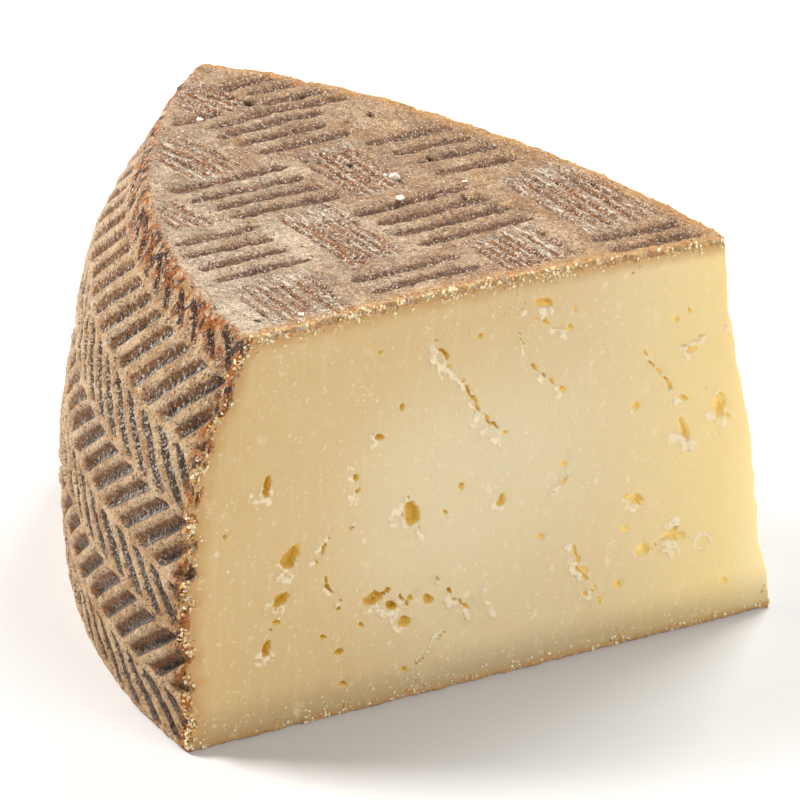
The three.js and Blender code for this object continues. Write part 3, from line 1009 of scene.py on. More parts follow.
class Web:
    """Adds nodes to one node tree."""

    def __init__(self, tree: bpy.types.NodeTree) -> None:
        """Keeps the tree."""
        self.tree = tree

    def node(self, kind: str, inputs: dict[str | int, Any] | None = None, **settings: Any) -> bpy.types.Node:
        """Adds a node.

        Args:
            kind: The node's type.
            inputs: Values or wires for its input sockets, by name or number.
            settings: The node's own options.

        Returns:
            The new node.
        """
        made = self.tree.nodes.new(kind)
        for option, value in settings.items():
            setattr(made, option, value)
        for key, value in (inputs or {}).items():
            if isinstance(value, Wire):
                self.tree.links.new(value.socket, made.inputs[key])
            else:
                made.inputs[key].default_value = value
        return made

    def maths(self, operation: str, *terms: Term) -> Wire:
        """Adds a Math node over some terms."""
        made = self.node("ShaderNodeMath", dict(enumerate(terms)), operation=operation)
        return Wire(self, made.outputs[0])

    def vector(self, operation: str, *terms: Any) -> Wire:
        """Adds a Vector Math node over some terms; Scale takes its factor second."""
        keys = (0, "Scale") if operation == "SCALE" else range(len(terms))
        made = self.node("ShaderNodeVectorMath", dict(zip(keys, terms)), operation=operation)
        return Wire(self, made.outputs[0])

    def mix(self, share: Term, start: Any, end: Any, blend: str = "MIX") -> Wire:
        """Mixes two colours by a share."""
        inputs = {0: share, 6: opaque(start), 7: opaque(end)}
        made = self.node("ShaderNodeMix", inputs, data_type="RGBA", blend_type=blend)
        return Wire(self, made.outputs[2])

    def mark(self, name: str) -> Wire:
        """Reads a mark kept on the mesh."""
        made = self.node("ShaderNodeAttribute", attribute_name=name)
        return Wire(self, made.outputs["Fac"])

    def place(self, stretch: Triple = (1, 1, 1), turn: Triple = (0, 0, 0), shift: float = 0.0) -> Wire:
        """Object coordinates in millimetres, stretched along axes turned in degrees, and shifted."""
        source = self.node("ShaderNodeTexCoord")
        turned = self.node(
            "ShaderNodeMapping",
            {
                "Vector": Wire(self, source.outputs["Object"]),
                "Location": (shift * 0.02, shift * 0.03, shift * 0.01),
                "Rotation": tuple(math.radians(angle) for angle in turn),
                "Scale": tuple(s * MM for s in stretch),
            },
            vector_type="TEXTURE",
        )
        return Wire(self, turned.outputs["Vector"])

    def axes(self, place: Wire) -> tuple[Wire, Wire, Wire]:
        """The three coordinates of a place: to the right, to the back and up."""
        split = self.node("ShaderNodeSeparateXYZ", {0: place})
        return tuple(Wire(self, socket) for socket in split.outputs)

    def noise(self, place: Wire, size: float, detail: float = 2.0, rough: float = 0.5) -> Wire:
        """Noise round 0.5 with lumps of a size in millimetres."""
        inputs = {"Vector": place, "Scale": 1.0 / size, "Detail": detail, "Roughness": rough}
        made = self.node("ShaderNodeTexNoise", inputs)
        return Wire(self, made.outputs["Fac"])

    def dots(self, place: Wire, size: float) -> tuple[Wire, Wire]:
        """Distances from points strewn a size in millimetres apart, and a random share for each point."""
        made = self.node("ShaderNodeTexVoronoi", {"Vector": place, "Scale": 1.0 / size})
        split = self.node("ShaderNodeSeparateColor", {0: Wire(self, made.outputs["Color"])})
        return Wire(self, made.outputs["Distance"]), Wire(self, split.outputs[0])

    def bump(self, height: Wire, distance: float, strength: float = 1.0) -> Wire:
        """A normal from a height between 0 and 1 over a distance in millimetres."""
        inputs = {"Height": height, "Distance": distance * MM, "Strength": strength}
        return Wire(self, self.node("ShaderNodeBump", inputs).outputs["Normal"])

    def surface(self, inputs: dict[str, Any]) -> Wire:
        """A Principled shader from its inputs."""
        return Wire(self, self.node("ShaderNodeBsdfPrincipled", inputs).outputs[0])


def opaque(colour: Any) -> Any:
    """Adds full alpha to a plain colour and leaves a wire as it is."""
    return colour if isinstance(colour, Wire) else (*colour, 1.0)


def srgb(red: int, green: int, blue: int) -> Colour:
    """A linear colour from its screen values, 0 to 255."""
    shares = (red / 255, green / 255, blue / 255)
    return tuple(s / 12.92 if s <= 0.04045 else ((s + 0.055) / 1.055) ** 2.4 for s in shares)


@dataclass(frozen=True)
class PasteFinish:
    """Pale, slightly translucent cheese, yellower in its eyes, with a painted glow that makes it brighter and
    yellower towards the tip.
    """

    body: Colour = srgb(220, 198, 154)
    # painted sheen: a soft highlight round the middle of the cut
    painted_sheen: Colour = srgb(222, 204, 164)
    # painted shade for the cut's left side and upper part, where less light falls
    painted_shade: Colour = srgb(208, 178, 124)
    # tip and painted_glow are painted light: light shining through the thin tip
    tip: Colour = srgb(250, 222, 146)
    painted_glow: Colour = srgb(255, 240, 190)
    eye: Colour = srgb(222, 182, 74)
    # painted light and shade in the eyes: paler towards the right, darker deep in the holes
    lit_eye: Colour = srgb(250, 220, 134)
    shaded_eye: Colour = srgb(190, 134, 22)
    torn: Colour = srgb(250, 233, 200)
    crystal: Colour = srgb(242, 224, 198)
    under_rind: Colour = srgb(190, 144, 82)
    # foot is painted shade near the floor
    foot: Colour = srgb(166, 140, 98)
    roughness: float = 0.46
    specular: float = 0.35
    subsurface: float = 0.5
    subsurface_radius: Triple = (1.0, 0.62, 0.26)
    subsurface_scale: float = 2.6
    relief: float = 0.10

    def colour(self, web: Web) -> Wire:
        """The colour of the cut, from its marks and its place.

        Args:
            web: The material's tree.

        Returns:
            The colour.
        """
        place = web.place()
        mottle = web.noise(place, 24.0, 2.0) - 0.5
        right, _, height = web.axes(place)
        # painted shade: darker and more saturated towards the left
        colour = web.mix((right + mottle * 30.0).between(-42.0, 8.0), self.painted_shade, self.body)
        # painted sheen, paler round the middle of the cut
        off_middle = ((right - 4.0) ** 2.0 + (height - 36.0) ** 2.0) ** 0.5
        colour = web.mix((off_middle + mottle * 16.0).between(30.0, 6.0), colour, self.painted_sheen)
        # painted shade along the upper part of the cut, away from the tip
        colour = web.mix(height.between(44.0, 68.0) * right.between(40.0, 5.0) * 0.7, colour, self.painted_shade)
        # painted glow: brighter and yellower towards the tip, brightest near its edge
        colour = web.mix(right.between(18.0, 66.0) * 0.9, colour, self.tip)
        colour = web.mix(right.between(47.0, 60.0) * 0.6, colour, self.painted_glow)
        # painted shade: darker towards the base, near the floor
        colour = web.mix(height.between(9.0, 0.5) * 0.6, colour, self.foot)
        level = web.mark("rind") + (web.noise(web.place(shift=7.0), 2.0, 3.0) - 0.5) * 1.2
        colour = web.mix(level.between(-2.6, 0.2) * 0.8, colour, self.under_rind)
        cloud = web.noise(web.place(shift=31.0), 3.4, 4.0, 0.65)
        colour = web.mix(cloud.between(0.58, 0.78) * 0.3, colour, self.torn)
        blotches = web.noise(web.place(shift=36.0), 1.5, 5.0, 0.7).between(0.6, 0.66)
        where = web.noise(web.place(shift=26.0), 11.0, 2.0).between(0.44, 0.6)
        colour = web.mix(blotches * where * 0.4, colour, self.torn)
        distance, chance = web.dots(web.place(shift=3.0), 3.1)
        ring = distance.between(0.24, 0.17) * (1.0 - 0.6 * distance.between(0.14, 0.08))
        group = web.noise(web.place(shift=17.0), 12.0, 1.0).between(0.45, 0.6)
        colour = web.mix(ring * chance.between(0.8, 0.82) * group * 0.5, colour, self.crystal)
        flecks = web.noise(web.place(shift=57.0), 0.9, 2.0).between(0.64, 0.72)
        colour = web.mix(flecks * 0.4, colour, self.crystal)
        smear = web.noise(web.place((1.2, 1.2, 12.0), shift=63.0), 1.0, 2.0, 0.5).between(0.5, 0.75)
        colour = web.mix(smear * 0.08, colour, self.crystal)
        colour = web.mix(web.mark("torn").between(0.1, 0.8) * 0.75, colour, self.torn)
        # painted light: eyes paler towards the right; painted shade: darker deep in the holes, less so on the
        # right
        eye_light = right.between(-12.0, 28.0)
        eye = web.mix(eye_light, self.eye, self.lit_eye)
        eye = web.mix(web.mark("hole").between(0.45, 0.95) * (0.5 - 0.46 * eye_light), eye, self.shaded_eye)
        return web.mix(web.mark("hole").between(0.03, 0.35), colour, eye)

    def shader(self, web: Web) -> Wire:
        """The whole cut finish."""
        grain = web.noise(web.place(shift=91.0), 0.6, 3.0, 0.6)
        rough_spot = web.noise(web.place(shift=13.0), 5.0, 2.0)
        return web.surface(
            {
                "Base Color": self.colour(web),
                "Roughness": rough_spot.between(0.3, 0.7) * 0.14 + (self.roughness - 0.07),
                "Subsurface Weight": self.subsurface,
                "Subsurface Radius": self.subsurface_radius,
                "Subsurface Scale": self.subsurface_scale * MM,
                "Specular IOR Level": self.specular,
                "Normal": web.bump(grain + web.mark("torn") * grain * 3.0, self.relief),
            }
        )


@dataclass(frozen=True)
class RindFinish:
    """Dry brushed rind: beige ridges, brown grooves with painted shade, grey mould, rust patches and dark
    flecks.
    """

    ridge: Colour = srgb(204, 176, 145)
    tan: Colour = srgb(176, 140, 102)
    side_ridge: Colour = srgb(232, 196, 150)
    side_tan: Colour = srgb(196, 148, 96)
    bloom: Colour = srgb(240, 220, 194)
    side_bloom: Colour = srgb(246, 212, 172)
    hair: Colour = srgb(252, 240, 222)
    mauve: Colour = srgb(150, 122, 98)
    grey: Colour = srgb(132, 104, 78)
    warmth: Colour = (0.93, 0.77, 0.59)
    # brown of the top's broad grooves, darkened as painted shade, most on the front half
    back: Colour = srgb(146, 98, 64)
    floor: Colour = srgb(100, 68, 52)
    line: Colour = srgb(154, 92, 36)
    # gold is the side grooves' upper wall: brown tone with painted shade and painted warm bounce light under
    # the ridge
    gold: Colour = srgb(152, 92, 30)
    mould: Colour = srgb(92, 76, 66)
    # hollow is painted shade with dark specks in the deepest groove floors
    hollow: Colour = srgb(42, 28, 22)
    orange: Colour = srgb(192, 102, 6)
    rust: Colour = srgb(224, 172, 104)
    crust: Colour = srgb(240, 204, 146)
    burnt: Colour = srgb(66, 28, 8)
    dark: Colour = srgb(46, 28, 18)
    roughness: float = 0.6
    specular: float = 0.5
    relief: float = 0.9
    narrow_turn: Triple = (0, 0, -53)

    def colour(self, web: Web) -> Wire:
        """The colour of the rind, from its marks and its place.

        Args:
            web: The material's tree.

        Returns:
            The colour.
        """
        side, pressed, under = web.mark("side"), web.mark("pressed"), web.mark("under")
        blotch = web.noise(web.place(), 5.0, 4.0, 0.62)
        share = blotch.between(0.36, 0.64)
        flat = web.mix(share, self.tan, self.ridge)
        colour = web.mix(side, flat, web.mix(share, self.side_tan, self.side_ridge))
        bloom = web.noise(web.place(shift=21.0), 9.0, 4.0, 0.65).between(0.48, 0.66)
        right, back, _ = web.axes(web.place())
        far = back.between(-20.0, 26.0)
        slant = right + back * 0.7
        # on the side, paler towards the back: mould bloom and a painted sheen along the far edge
        pale = (bloom * (1.0 - 0.5 * side)).most(far * side * 0.8)
        pale = pale.most(slant.between(-42.0, -70.0) * (1.0 - side))
        colour = web.mix(pale * (1.0 - pressed) * 0.65, colour, web.mix(side, self.bloom, self.side_bloom))
        colour = web.mix(far * (1.0 - side) * blotch.between(0.3, 0.5) * 0.25, colour, self.grey)
        colour = web.mix(slant.between(-55.0, 25.0) * (1.0 - side), colour, self.warmth, "MULTIPLY")
        patch = web.noise(web.place(shift=44.0), 7.0, 3.0, 0.6).between(0.5, 0.64)
        colour = web.mix(patch * (0.4 - 0.2 * side), colour, self.mauve)
        narrow = web.mark("thin")
        colour = web.mix(narrow * 0.4, colour, self.mauve)
        colour = self.grooved(web, colour, (side, pressed, under, narrow))
        grain = web.noise(web.place(shift=33.0), 1.1, 4.0, 0.75)
        dust = web.noise(web.place(shift=39.0), 0.34, 2.0, 0.7)
        coarse = 1.0 - 0.5 * side * (1.0 - pressed)
        colour = web.mix(coarse, colour, (2.3 * grain - 0.15) * (2.0 * dust), "MULTIPLY")
        colour = self.flecked(web, self.scorched(web, colour, side), pressed, side)
        return web.mix(web.mark("pit") * 0.85, colour, self.dark)

    def grooved(self, web: Web, colour: Wire, marks: tuple[Wire, Wire, Wire, Wire]) -> Wire:
        """Darkens the grooves, with their brown tone and painted shade, and draws the rust and frosted lines
        of the narrow blocks.

        Args:
            web: The material's tree.
            colour: The colour without them.
            marks: Side, groove floor, front or lower half, and block of narrow grooves.

        Returns:
            The colour with them.
        """
        side, pressed, under, narrow = marks
        turn = self.narrow_turn
        uneven = (web.noise(web.place(shift=48.0), 0.7, 3.0, 0.7) - 0.5) * 0.5
        reach = pressed - 0.05 * (1.0 - side) * (1.0 - narrow)
        floor = (reach + uneven * (1.0 - pressed)).between(0.14, 0.4)
        # top grooves: brown tone with painted shade, darker on the front half
        flat_floor = web.mix(narrow, web.mix(under, self.back, self.floor), self.line)
        scorch = web.mark("rim_gap").between(9.0, 5.0)
        # side grooves: golden upper wall with painted shade under the ridge, grey mould below, burnt near the
        # rim
        side_floor = web.mix(under, self.gold, web.mix(scorch, self.mould, self.burnt))
        strong = web.noise(web.place((22.0, 1.9, 1.0), turn, 61.0), 1.0, 1.0, 0.5).between(0.44, 0.56)
        held = floor * (0.92 - narrow * (0.55 - 0.5 * strong))
        colour = web.mix(held, colour, web.mix(side, flat_floor, side_floor))
        # painted shade, with dark specks, in the deepest floors of the broad grooves
        deep = pressed.between(0.72, 1.0) * web.noise(web.place(shift=19.0), 1.0, 3.0, 0.7).between(0.4, 0.55)
        colour = web.mix(deep * (1.0 - narrow) * (0.5 + 0.35 * side), colour, self.hollow)
        colour = web.mix(pressed.between(0.6, 0.9) * narrow * strong * 0.75, colour, self.burnt)
        rust = web.noise(web.place((16.0, 0.9, 1.0), turn, 66.0), 1.0, 2.0, 0.5).between(0.6, 0.63)
        colour = web.mix(narrow * rust * 0.85, colour, self.line)
        frost = web.noise(web.place((4.0, 0.8, 1.0), turn, 77.0), 0.9, 4.0, 0.75).between(0.54, 0.57)
        return web.mix(narrow * frost * (1.0 - pressed.between(0.1, 0.5)) * 0.7, colour, self.hair)

    def scorched(self, web: Web, colour: Wire, side: Wire) -> Wire:
        """Adds the rust and burnt patches along the rim and the cuts.

        Args:
            web: The material's tree.
            colour: The colour without them.
            side: 1 on the side and 0 on the flat faces.

        Returns:
            The colour with them.
        """
        rim = web.mark("rim_gap").between(8.5, 3.0) * (0.2 + 0.8 * side)
        cut = web.mark("cut_gap").between(3.6, 0.3)
        coarse = web.noise(web.place((1.0, 1.0, 2.2), shift=72.0), 2.0, 4.0, 0.65)
        near = rim.most(cut)
        colour = web.mix(cut * coarse.between(0.3, 0.46) * 0.85, colour, self.rust)
        crumbs = web.noise(web.place(shift=58.0), 0.8, 3.0, 0.7).between(0.47, 0.55)
        colour = web.mix(web.mark("cut_gap").between(1.1, 0.3) * crumbs * 0.85, colour, self.crust)
        streaks = web.noise(web.place((1.0, 1.0, 2.4), shift=81.0), 1.8, 4.0, 0.65).between(0.49, 0.53)
        colour = web.mix(near * streaks * (0.38 + 0.59 * side), colour, self.orange)
        burnt = web.noise(web.place((1.0, 1.0, 2.6), shift=95.0), 1.5, 3.0, 0.65)
        return web.mix(near * side * burnt.between(0.52, 0.56) * 0.95, colour, self.burnt)

    def flecked(self, web: Web, colour: Wire, pressed: Wire, side: Wire) -> Wire:
        """Adds the dark and the white flecks; the white flecks are mould hairs and, on the top, also painted
        glints.

        Args:
            web: The material's tree.
            colour: The colour without flecks.
            pressed: Share of a groove's floor.
            side: 1 on the side and 0 on the flat faces.

        Returns:
            The colour with flecks.
        """
        grain = web.noise(web.place((1.7, 0.8, 1.1), (0, 0, -40), 15.0), 0.5, 3.0, 0.75)
        dense = web.noise(web.place(shift=84.0), 6.0, 2.0).between(0.35, 0.65)
        frosted = (pressed * web.mark("under")).most(web.mark("thin"))
        section = web.mark("cut_gap").between(1.2, 0.4)
        limit = 0.624 - 0.03 * pressed - 0.04 * dense - 0.02 * frosted - 0.018 * side + 0.05 * section
        dark = (grain - limit).between(0.0, 0.015)
        colour = web.mix(dark * 0.9, colour, self.dark)
        pale = web.noise(web.place((0.9, 0.9, 2.3), shift=37.0), 0.42, 3.0, 0.7)
        _, _, height = web.axes(web.place())
        lifted = height.between(4.0, 50.0)
        clear = web.mark("cut_gap").between(2.0, 12.0) * web.mark("rim_gap").between(2.0, 8.0)
        shift = (0.07 * frosted + 0.02 * pressed) * side * clear + 0.02 * frosted * (1.0 - side)
        shift = shift - 0.012 * side * (1.0 - clear)
        # white mould hairs, which on the top also stand in for glints as painted highlights
        hairs_and_glints = (pale + shift).between(0.598, 0.615) * (0.9 - side * (0.7 - 0.55 * lifted))
        colour = web.mix(hairs_and_glints, colour, self.hair)
        strokes = web.noise(web.place((2.2, 0.8, 1.4), (0, 0, 30), 55.0), 0.8, 3.0, 0.65)
        return web.mix(strokes.between(0.665, 0.685) * 0.8, colour, self.burnt)

    def shader(self, web: Web) -> Wire:
        """The whole rind finish."""
        grain = web.noise(web.place(shift=11.0), 0.6, 4.0, 0.7)
        crease = web.noise(web.place((3.0, 0.8, 1.0), (0, 0, 28), 52.0), 1.0, 3.0, 0.6)
        wax = web.noise(web.place(shift=29.0), 1.2, 3.0, 0.6)
        return web.surface(
            {
                "Base Color": self.colour(web),
                "Roughness": self.roughness - 0.3 * wax.between(0.5, 0.62),
                "Specular IOR Level": self.specular,
                "Normal": web.bump(grain * 1.5 + crease, self.relief),
            }
        )


@dataclass(frozen=True)
class CheeseFinish:
    """The wedge's one material: rind outside, paste on the cuts."""

    paste: PasteFinish = field(default_factory=PasteFinish)
    rind: RindFinish = field(default_factory=RindFinish)

    def material(self) -> bpy.types.Material:
        """Builds the material."""
        material, web = blank_material("cheese")
        uneven = (web.noise(web.place(shift=5.0), 1.5, 3.0, 0.65) - 0.5) * 1.8
        inside = (web.mark("rind") + uneven).between(0.15, -0.15)
        inputs = {0: inside, 1: self.rind.shader(web), 2: self.paste.shader(web)}
        mixed = web.node("ShaderNodeMixShader", inputs)
        close_material(web, Wire(web, mixed.outputs[0]))
        return material


def blank_material(name: str) -> tuple[bpy.types.Material, Web]:
    """An empty node material and its tree."""
    material = bpy.data.materials.new(name)
    material.use_nodes = True
    material.node_tree.nodes.clear()
    return material, Web(material.node_tree)


def close_material(web: Web, shader: Wire) -> None:
    """Joins a shader to the material's output."""
    web.node("ShaderNodeOutputMaterial", {"Surface": shader})


@dataclass(frozen=True)
class CrumbFinish:
    """Dry crumbs, from golden to white."""

    name: str = "crumbs"
    gold: Colour = srgb(222, 160, 82)
    pale: Colour = srgb(250, 230, 186)
    roughness: float = 0.55
    subsurface: float = 0.4
    subsurface_radius: Triple = (1.0, 0.7, 0.4)
    subsurface_scale: float = 0.6

    def material(self) -> bpy.types.Material:
        """Builds the material."""
        material, web = blank_material(self.name)
        tint = web.mark("tint")
        surface = web.surface(
            {
                "Base Color": web.mix(tint.between(0.1, 0.8), self.gold, self.pale),
                "Roughness": self.roughness,
                "Subsurface Weight": self.subsurface,
                "Subsurface Radius": self.subsurface_radius,
                "Subsurface Scale": self.subsurface_scale * MM,
            }
        )
        close_material(web, surface)
        return material


@dataclass(frozen=True)
class DustAndGlintFinish:
    """Specks on the rind: dark, white and rust; the white specks are also painted glints."""

    dark: Colour = srgb(60, 44, 38)
    # white specks are partly painted glints
    white: Colour = srgb(232, 214, 190)
    rust: Colour = srgb(188, 112, 54)
    roughness: float = 0.5

    def material(self) -> bpy.types.Material:
        """Builds the material."""
        material, web = blank_material("rind_dust_and_glints")
        tint = web.mark("tint")
        colour = web.mix(tint.between(0.28, 0.3), self.dark, self.white)
        colour = web.mix(tint.between(0.84, 0.86), colour, self.rust)
        close_material(web, web.surface({"Base Color": colour, "Roughness": self.roughness}))
        return material


@dataclass(frozen=True)
class Scatter:
    """Small lumps strewn over the wedge by Geometry Nodes where a mark says so."""

    name: str
    density: float
    smallest: float
    largest: float
    shape: Triple
    subdivisions: int
    seed: int
    lift: float = 0.15

    def group(self, material: bpy.types.Material) -> bpy.types.GeometryNodeTree:
        """Builds the node tree that strews the lumps.

        Args:
            material: The lumps' finish.

        Returns:
            The tree, with the density, the sizes and the seed as named inputs.
        """
        tree = bpy.data.node_groups.new(self.name, "GeometryNodeTree")
        face = tree.interface
        face.new_socket("Geometry", in_out="INPUT", socket_type="NodeSocketGeometry")
        for label in ("Density", "Smallest", "Largest"):
            face.new_socket(label, in_out="INPUT", socket_type="NodeSocketFloat")
        face.new_socket("Seed", in_out="INPUT", socket_type="NodeSocketInt")
        face.new_socket("Geometry", in_out="OUTPUT", socket_type="NodeSocketGeometry")
        web = Web(tree)
        given = web.node("NodeGroupInput")
        take = {socket.name: Wire(web, socket) for socket in given.outputs if socket.name}
        weight = web.node("GeometryNodeInputNamedAttribute", {"Name": "weight"}, data_type="FLOAT")
        strewn = web.node(
            "GeometryNodeDistributePointsOnFaces",
            {
                "Mesh": take["Geometry"],
                "Density": take["Density"] * Wire(web, weight.outputs[0]),
                "Seed": take["Seed"],
            },
        )
        size = self.random(web, take["Smallest"], take["Largest"], take["Seed"] + 1)
        scale = web.node("ShaderNodeCombineXYZ", {axis: size * self.shape[axis] for axis in range(3)})
        spin = self.random(web, 0.0, 2 * math.pi, take["Seed"] + 2)
        spun = web.node("ShaderNodeCombineXYZ", {2: spin})
        turned = web.node(
            "FunctionNodeRotateRotation",
            {
                "Rotation": Wire(web, strewn.outputs["Rotation"]),
                "Rotate By": self.rotation(web, spun),
            },
            rotation_space="LOCAL",
        )
        instanced = web.node(
            "GeometryNodeInstanceOnPoints",
            {
                "Points": Wire(web, strewn.outputs["Points"]),
                "Instance": self.lumps(web),
                "Pick Instance": True,
                "Rotation": Wire(web, turned.outputs[0]),
                "Scale": Wire(web, scale.outputs[0]),
            },
        )
        tinted = web.node(
            "GeometryNodeStoreNamedAttribute",
            {
                "Geometry": Wire(web, instanced.outputs[0]),
                "Name": "tint",
                "Value": self.random(web, 0.0, 1.0, take["Seed"] + 3),
            },
            data_type="FLOAT",
            domain="INSTANCE",
        )
        real = web.node("GeometryNodeRealizeInstances", {0: Wire(web, tinted.outputs[0])})
        dressed = web.node(
            "GeometryNodeSetMaterial", {"Geometry": Wire(web, real.outputs[0]), "Material": material}
        )
        web.node("NodeGroupOutput", {0: Wire(web, dressed.outputs[0])})
        return tree

    def random(self, web: Web, low: Term, high: Term, seed: Wire) -> Wire:
        """A random number for each lump."""
        made = web.node("FunctionNodeRandomValue", {2: low, 3: high, "Seed": seed}, data_type="FLOAT")
        return Wire(web, made.outputs[1])

    def rotation(self, web: Web, euler: bpy.types.Node) -> Wire:
        """Turns three angles into a rotation."""
        made = web.node("FunctionNodeEulerToRotation", {0: Wire(web, euler.outputs[0])})
        return Wire(web, made.outputs[0])

    def lumps(self, web: Web, kinds: int = 4) -> Wire:
        """A few uneven lumps to pick from, as instances."""
        joined = web.node("GeometryNodeGeometryToInstance")
        for kind in range(kinds):
            ball = web.node("GeometryNodeMeshIcoSphere", {"Radius": 0.5, "Subdivisions": self.subdivisions})
            place = web.node("GeometryNodeInputPosition")
            offset = web.vector("ADD", Wire(web, place.outputs[0]), (7.0 * kind + self.seed, 3.0, 1.0))
            lump = web.node("ShaderNodeTexNoise", {"Vector": offset, "Scale": 1.7, "Detail": 1.0})
            centred = web.vector("SUBTRACT", Wire(web, lump.outputs["Color"]), (0.5, 0.5, 0.5))
            moved = web.node(
                "GeometryNodeSetPosition",
                {
                    "Geometry": Wire(web, ball.outputs["Mesh"]),
                    "Offset": web.vector("ADD", web.vector("SCALE", centred, 0.9), (0, 0, self.lift)),
                },
            )
            web.tree.links.new(moved.outputs[0], joined.inputs[0])
        return Wire(web, joined.outputs[0])

    def build(self, skin: bpy.types.Object, weight: Array, material: bpy.types.Material) -> bpy.types.Object:
        """Strews the lumps over the skin.

        Args:
            skin: The wedge.
            weight: How thickly they lie at each of its points, from 0 to 1.
            material: Their finish.

        Returns:
            One plain mesh object of all the lumps.
        """
        mesh = skin.data.copy()
        set_mark(mesh, "weight", weight)
        ground = add_object(f"{self.name}_ground", mesh)
        modifier = ground.modifiers.new("strew", "NODES")
        tree = self.group(material)
        modifier.node_group = tree
        values = {
            "Density": self.density / MM**2,
            "Smallest": self.smallest * MM,
            "Largest": self.largest * MM,
            "Seed": self.seed,
        }
        for item in tree.interface.items_tree:
            if item.item_type == "SOCKET" and item.in_out == "INPUT" and item.name in values:
                modifier[item.identifier] = values[item.name]
        evaluated = ground.evaluated_get(bpy.context.evaluated_depsgraph_get())
        result = bpy.data.meshes.new_from_object(evaluated)
        result.name = self.name
        bpy.data.objects.remove(ground)
        bpy.data.meshes.remove(mesh)
        for label in [a.name for a in result.attributes if a.name not in KEPT_ATTRIBUTES]:
            spare = result.attributes.get(label)
            if spare is not None and not spare.is_internal and not spare.is_required:
                result.attributes.remove(spare)
        finish_shading(result, sharpest=70.0)
        return add_object(self.name, result)


@dataclass(frozen=True)
class LooseCrumbs:
    """A few larger crumbs that lie on the top: their plan places round the wheel's axis and their sizes."""

    places: tuple[Triple, ...] = (
        (-57.3, 9.0, 1.5),
        (-58.6, 9.6, 0.7),
        (-57.1, 1.6, 1.2),
        (-88.0, 26.5, 0.8),
        (-45.5, 9.0, 0.7),
        (-77.0, -39.5, 0.9),
    )
    proportions: Triple = (1.0, 0.85, 0.7)
    seed: int = 23

    def build(self, name: str, skin: bpy.types.Object, form: WheelForm) -> bpy.types.Object:
        """Makes the crumbs and rests them on the skin.

        Args:
            name: The object's name.
            skin: The wedge.
            form: The wheel's form.

        Returns:
            One mesh object of all the crumbs.
        """
        ball = bmesh.new()
        bmesh.ops.create_icosphere(ball, subdivisions=3, radius=0.5)
        shape = np.array([vertex.co[:] for vertex in ball.verts])
        faces = np.array([[vertex.index for vertex in face.verts] for face in ball.faces])
        ball.free()
        noise = LatticeNoise(self.seed)
        ground = points_of(skin.data)
        points, triangles = [], []
        for number, (x, y, size) in enumerate(self.places):
            rough = noise.layered(shape * 1.9 + 9.0 * number, 1.0, 3, 0.6)
            lump = shape * (1 + 0.55 * rough[:, None]) * size * np.array(self.proportions)
            middle = form.framed(np.array([x, y, 0.0])) / MM
            near = np.hypot(ground[:, 0] - middle[0], ground[:, 1] - middle[1]) < 0.6
            middle[2] = ground[near, 2].max() + 0.2 * size
            points.append((lump + middle) * MM)
            triangles.append(faces + number * len(shape))
        mesh = mesh_from(name, np.concatenate(points), np.concatenate(triangles))
        set_mark(mesh, "tint", np.ones(len(mesh.vertices)))
        finish_shading(mesh, sharpest=40.0)
        return add_object(name, mesh)


def mark_of(mesh: bpy.types.Mesh, name: str) -> Array:
    """Reads one of the skin's marks as an array."""
    values = np.zeros(len(mesh.vertices), np.float32)
    mesh.attributes[name].data.foreach_get("value", values)
    return values


def vectors_of(items: Any, name: str) -> Array:
    """Reads a vector of each item, such as a point's place, as an n by 3 array."""
    values = np.zeros(3 * len(items), np.float32)
    items.foreach_get(name, values)
    return values.reshape(-1, 3)


def points_of(mesh: bpy.types.Mesh) -> Array:
    """The mesh's points in millimetres as an array."""
    return vectors_of(mesh.vertices, "co") / MM


@dataclass(frozen=True)
class Viewpoint:
    """The camera, in millimetres and degrees in the frame."""

    target: Triple = (-3.44, 8.327, 29.15)
    azimuth: float = -8.445
    elevation: float = 29.88
    distance: float = 1089.0
    roll: float = 5.06
    lens: float = 292.2
    sensor: float = 36.0
    nearest: float = 50.0

    def build(self) -> bpy.types.Object:
        """Makes the camera and gives it to the scene."""
        a, e, r = (math.radians(angle) for angle in (self.azimuth, self.elevation, self.roll))
        back = Vector((math.sin(a) * math.cos(e), -math.cos(a) * math.cos(e), math.sin(e)))
        right = Vector((math.cos(a), math.sin(a), 0.0))
        up = back.cross(right)
        rolled_right = math.cos(r) * right + math.sin(r) * up
        rolled_up = math.cos(r) * up - math.sin(r) * right
        data = bpy.data.cameras.new("camera")
        data.lens = self.lens
        data.sensor_width = self.sensor
        data.clip_start = self.nearest * MM
        camera = add_object("camera", data)
        turned = Matrix((rolled_right, rolled_up, back)).transposed().to_4x4()
        place = (Vector(self.target) + back * self.distance) * MM
        camera.matrix_world = Matrix.Translation(place) @ turned
        bpy.context.scene.camera = camera
        return camera


@dataclass(frozen=True)
class Softbox:
    """A square studio light, in metres and watts."""

    name: str
    at: Triple
    size: float
    power: float
    colour: Colour = (1.0, 1.0, 1.0)
    aim: Triple = (0.0, 0.0, 0.04)

    def build(self) -> bpy.types.Object:
        """Makes the light, aimed at the middle of the wedge."""
        data = bpy.data.lights.new(self.name, "AREA")
        data.shape = "SQUARE"
        data.size = self.size
        data.energy = self.power
        data.color = self.colour
        light = add_object(self.name, data)
        towards = Vector(self.aim) - Vector(self.at)
        turn = towards.to_track_quat("-Z", "Y").to_matrix().to_4x4()
        light.matrix_world = Matrix.Translation(self.at) @ turn
        return light


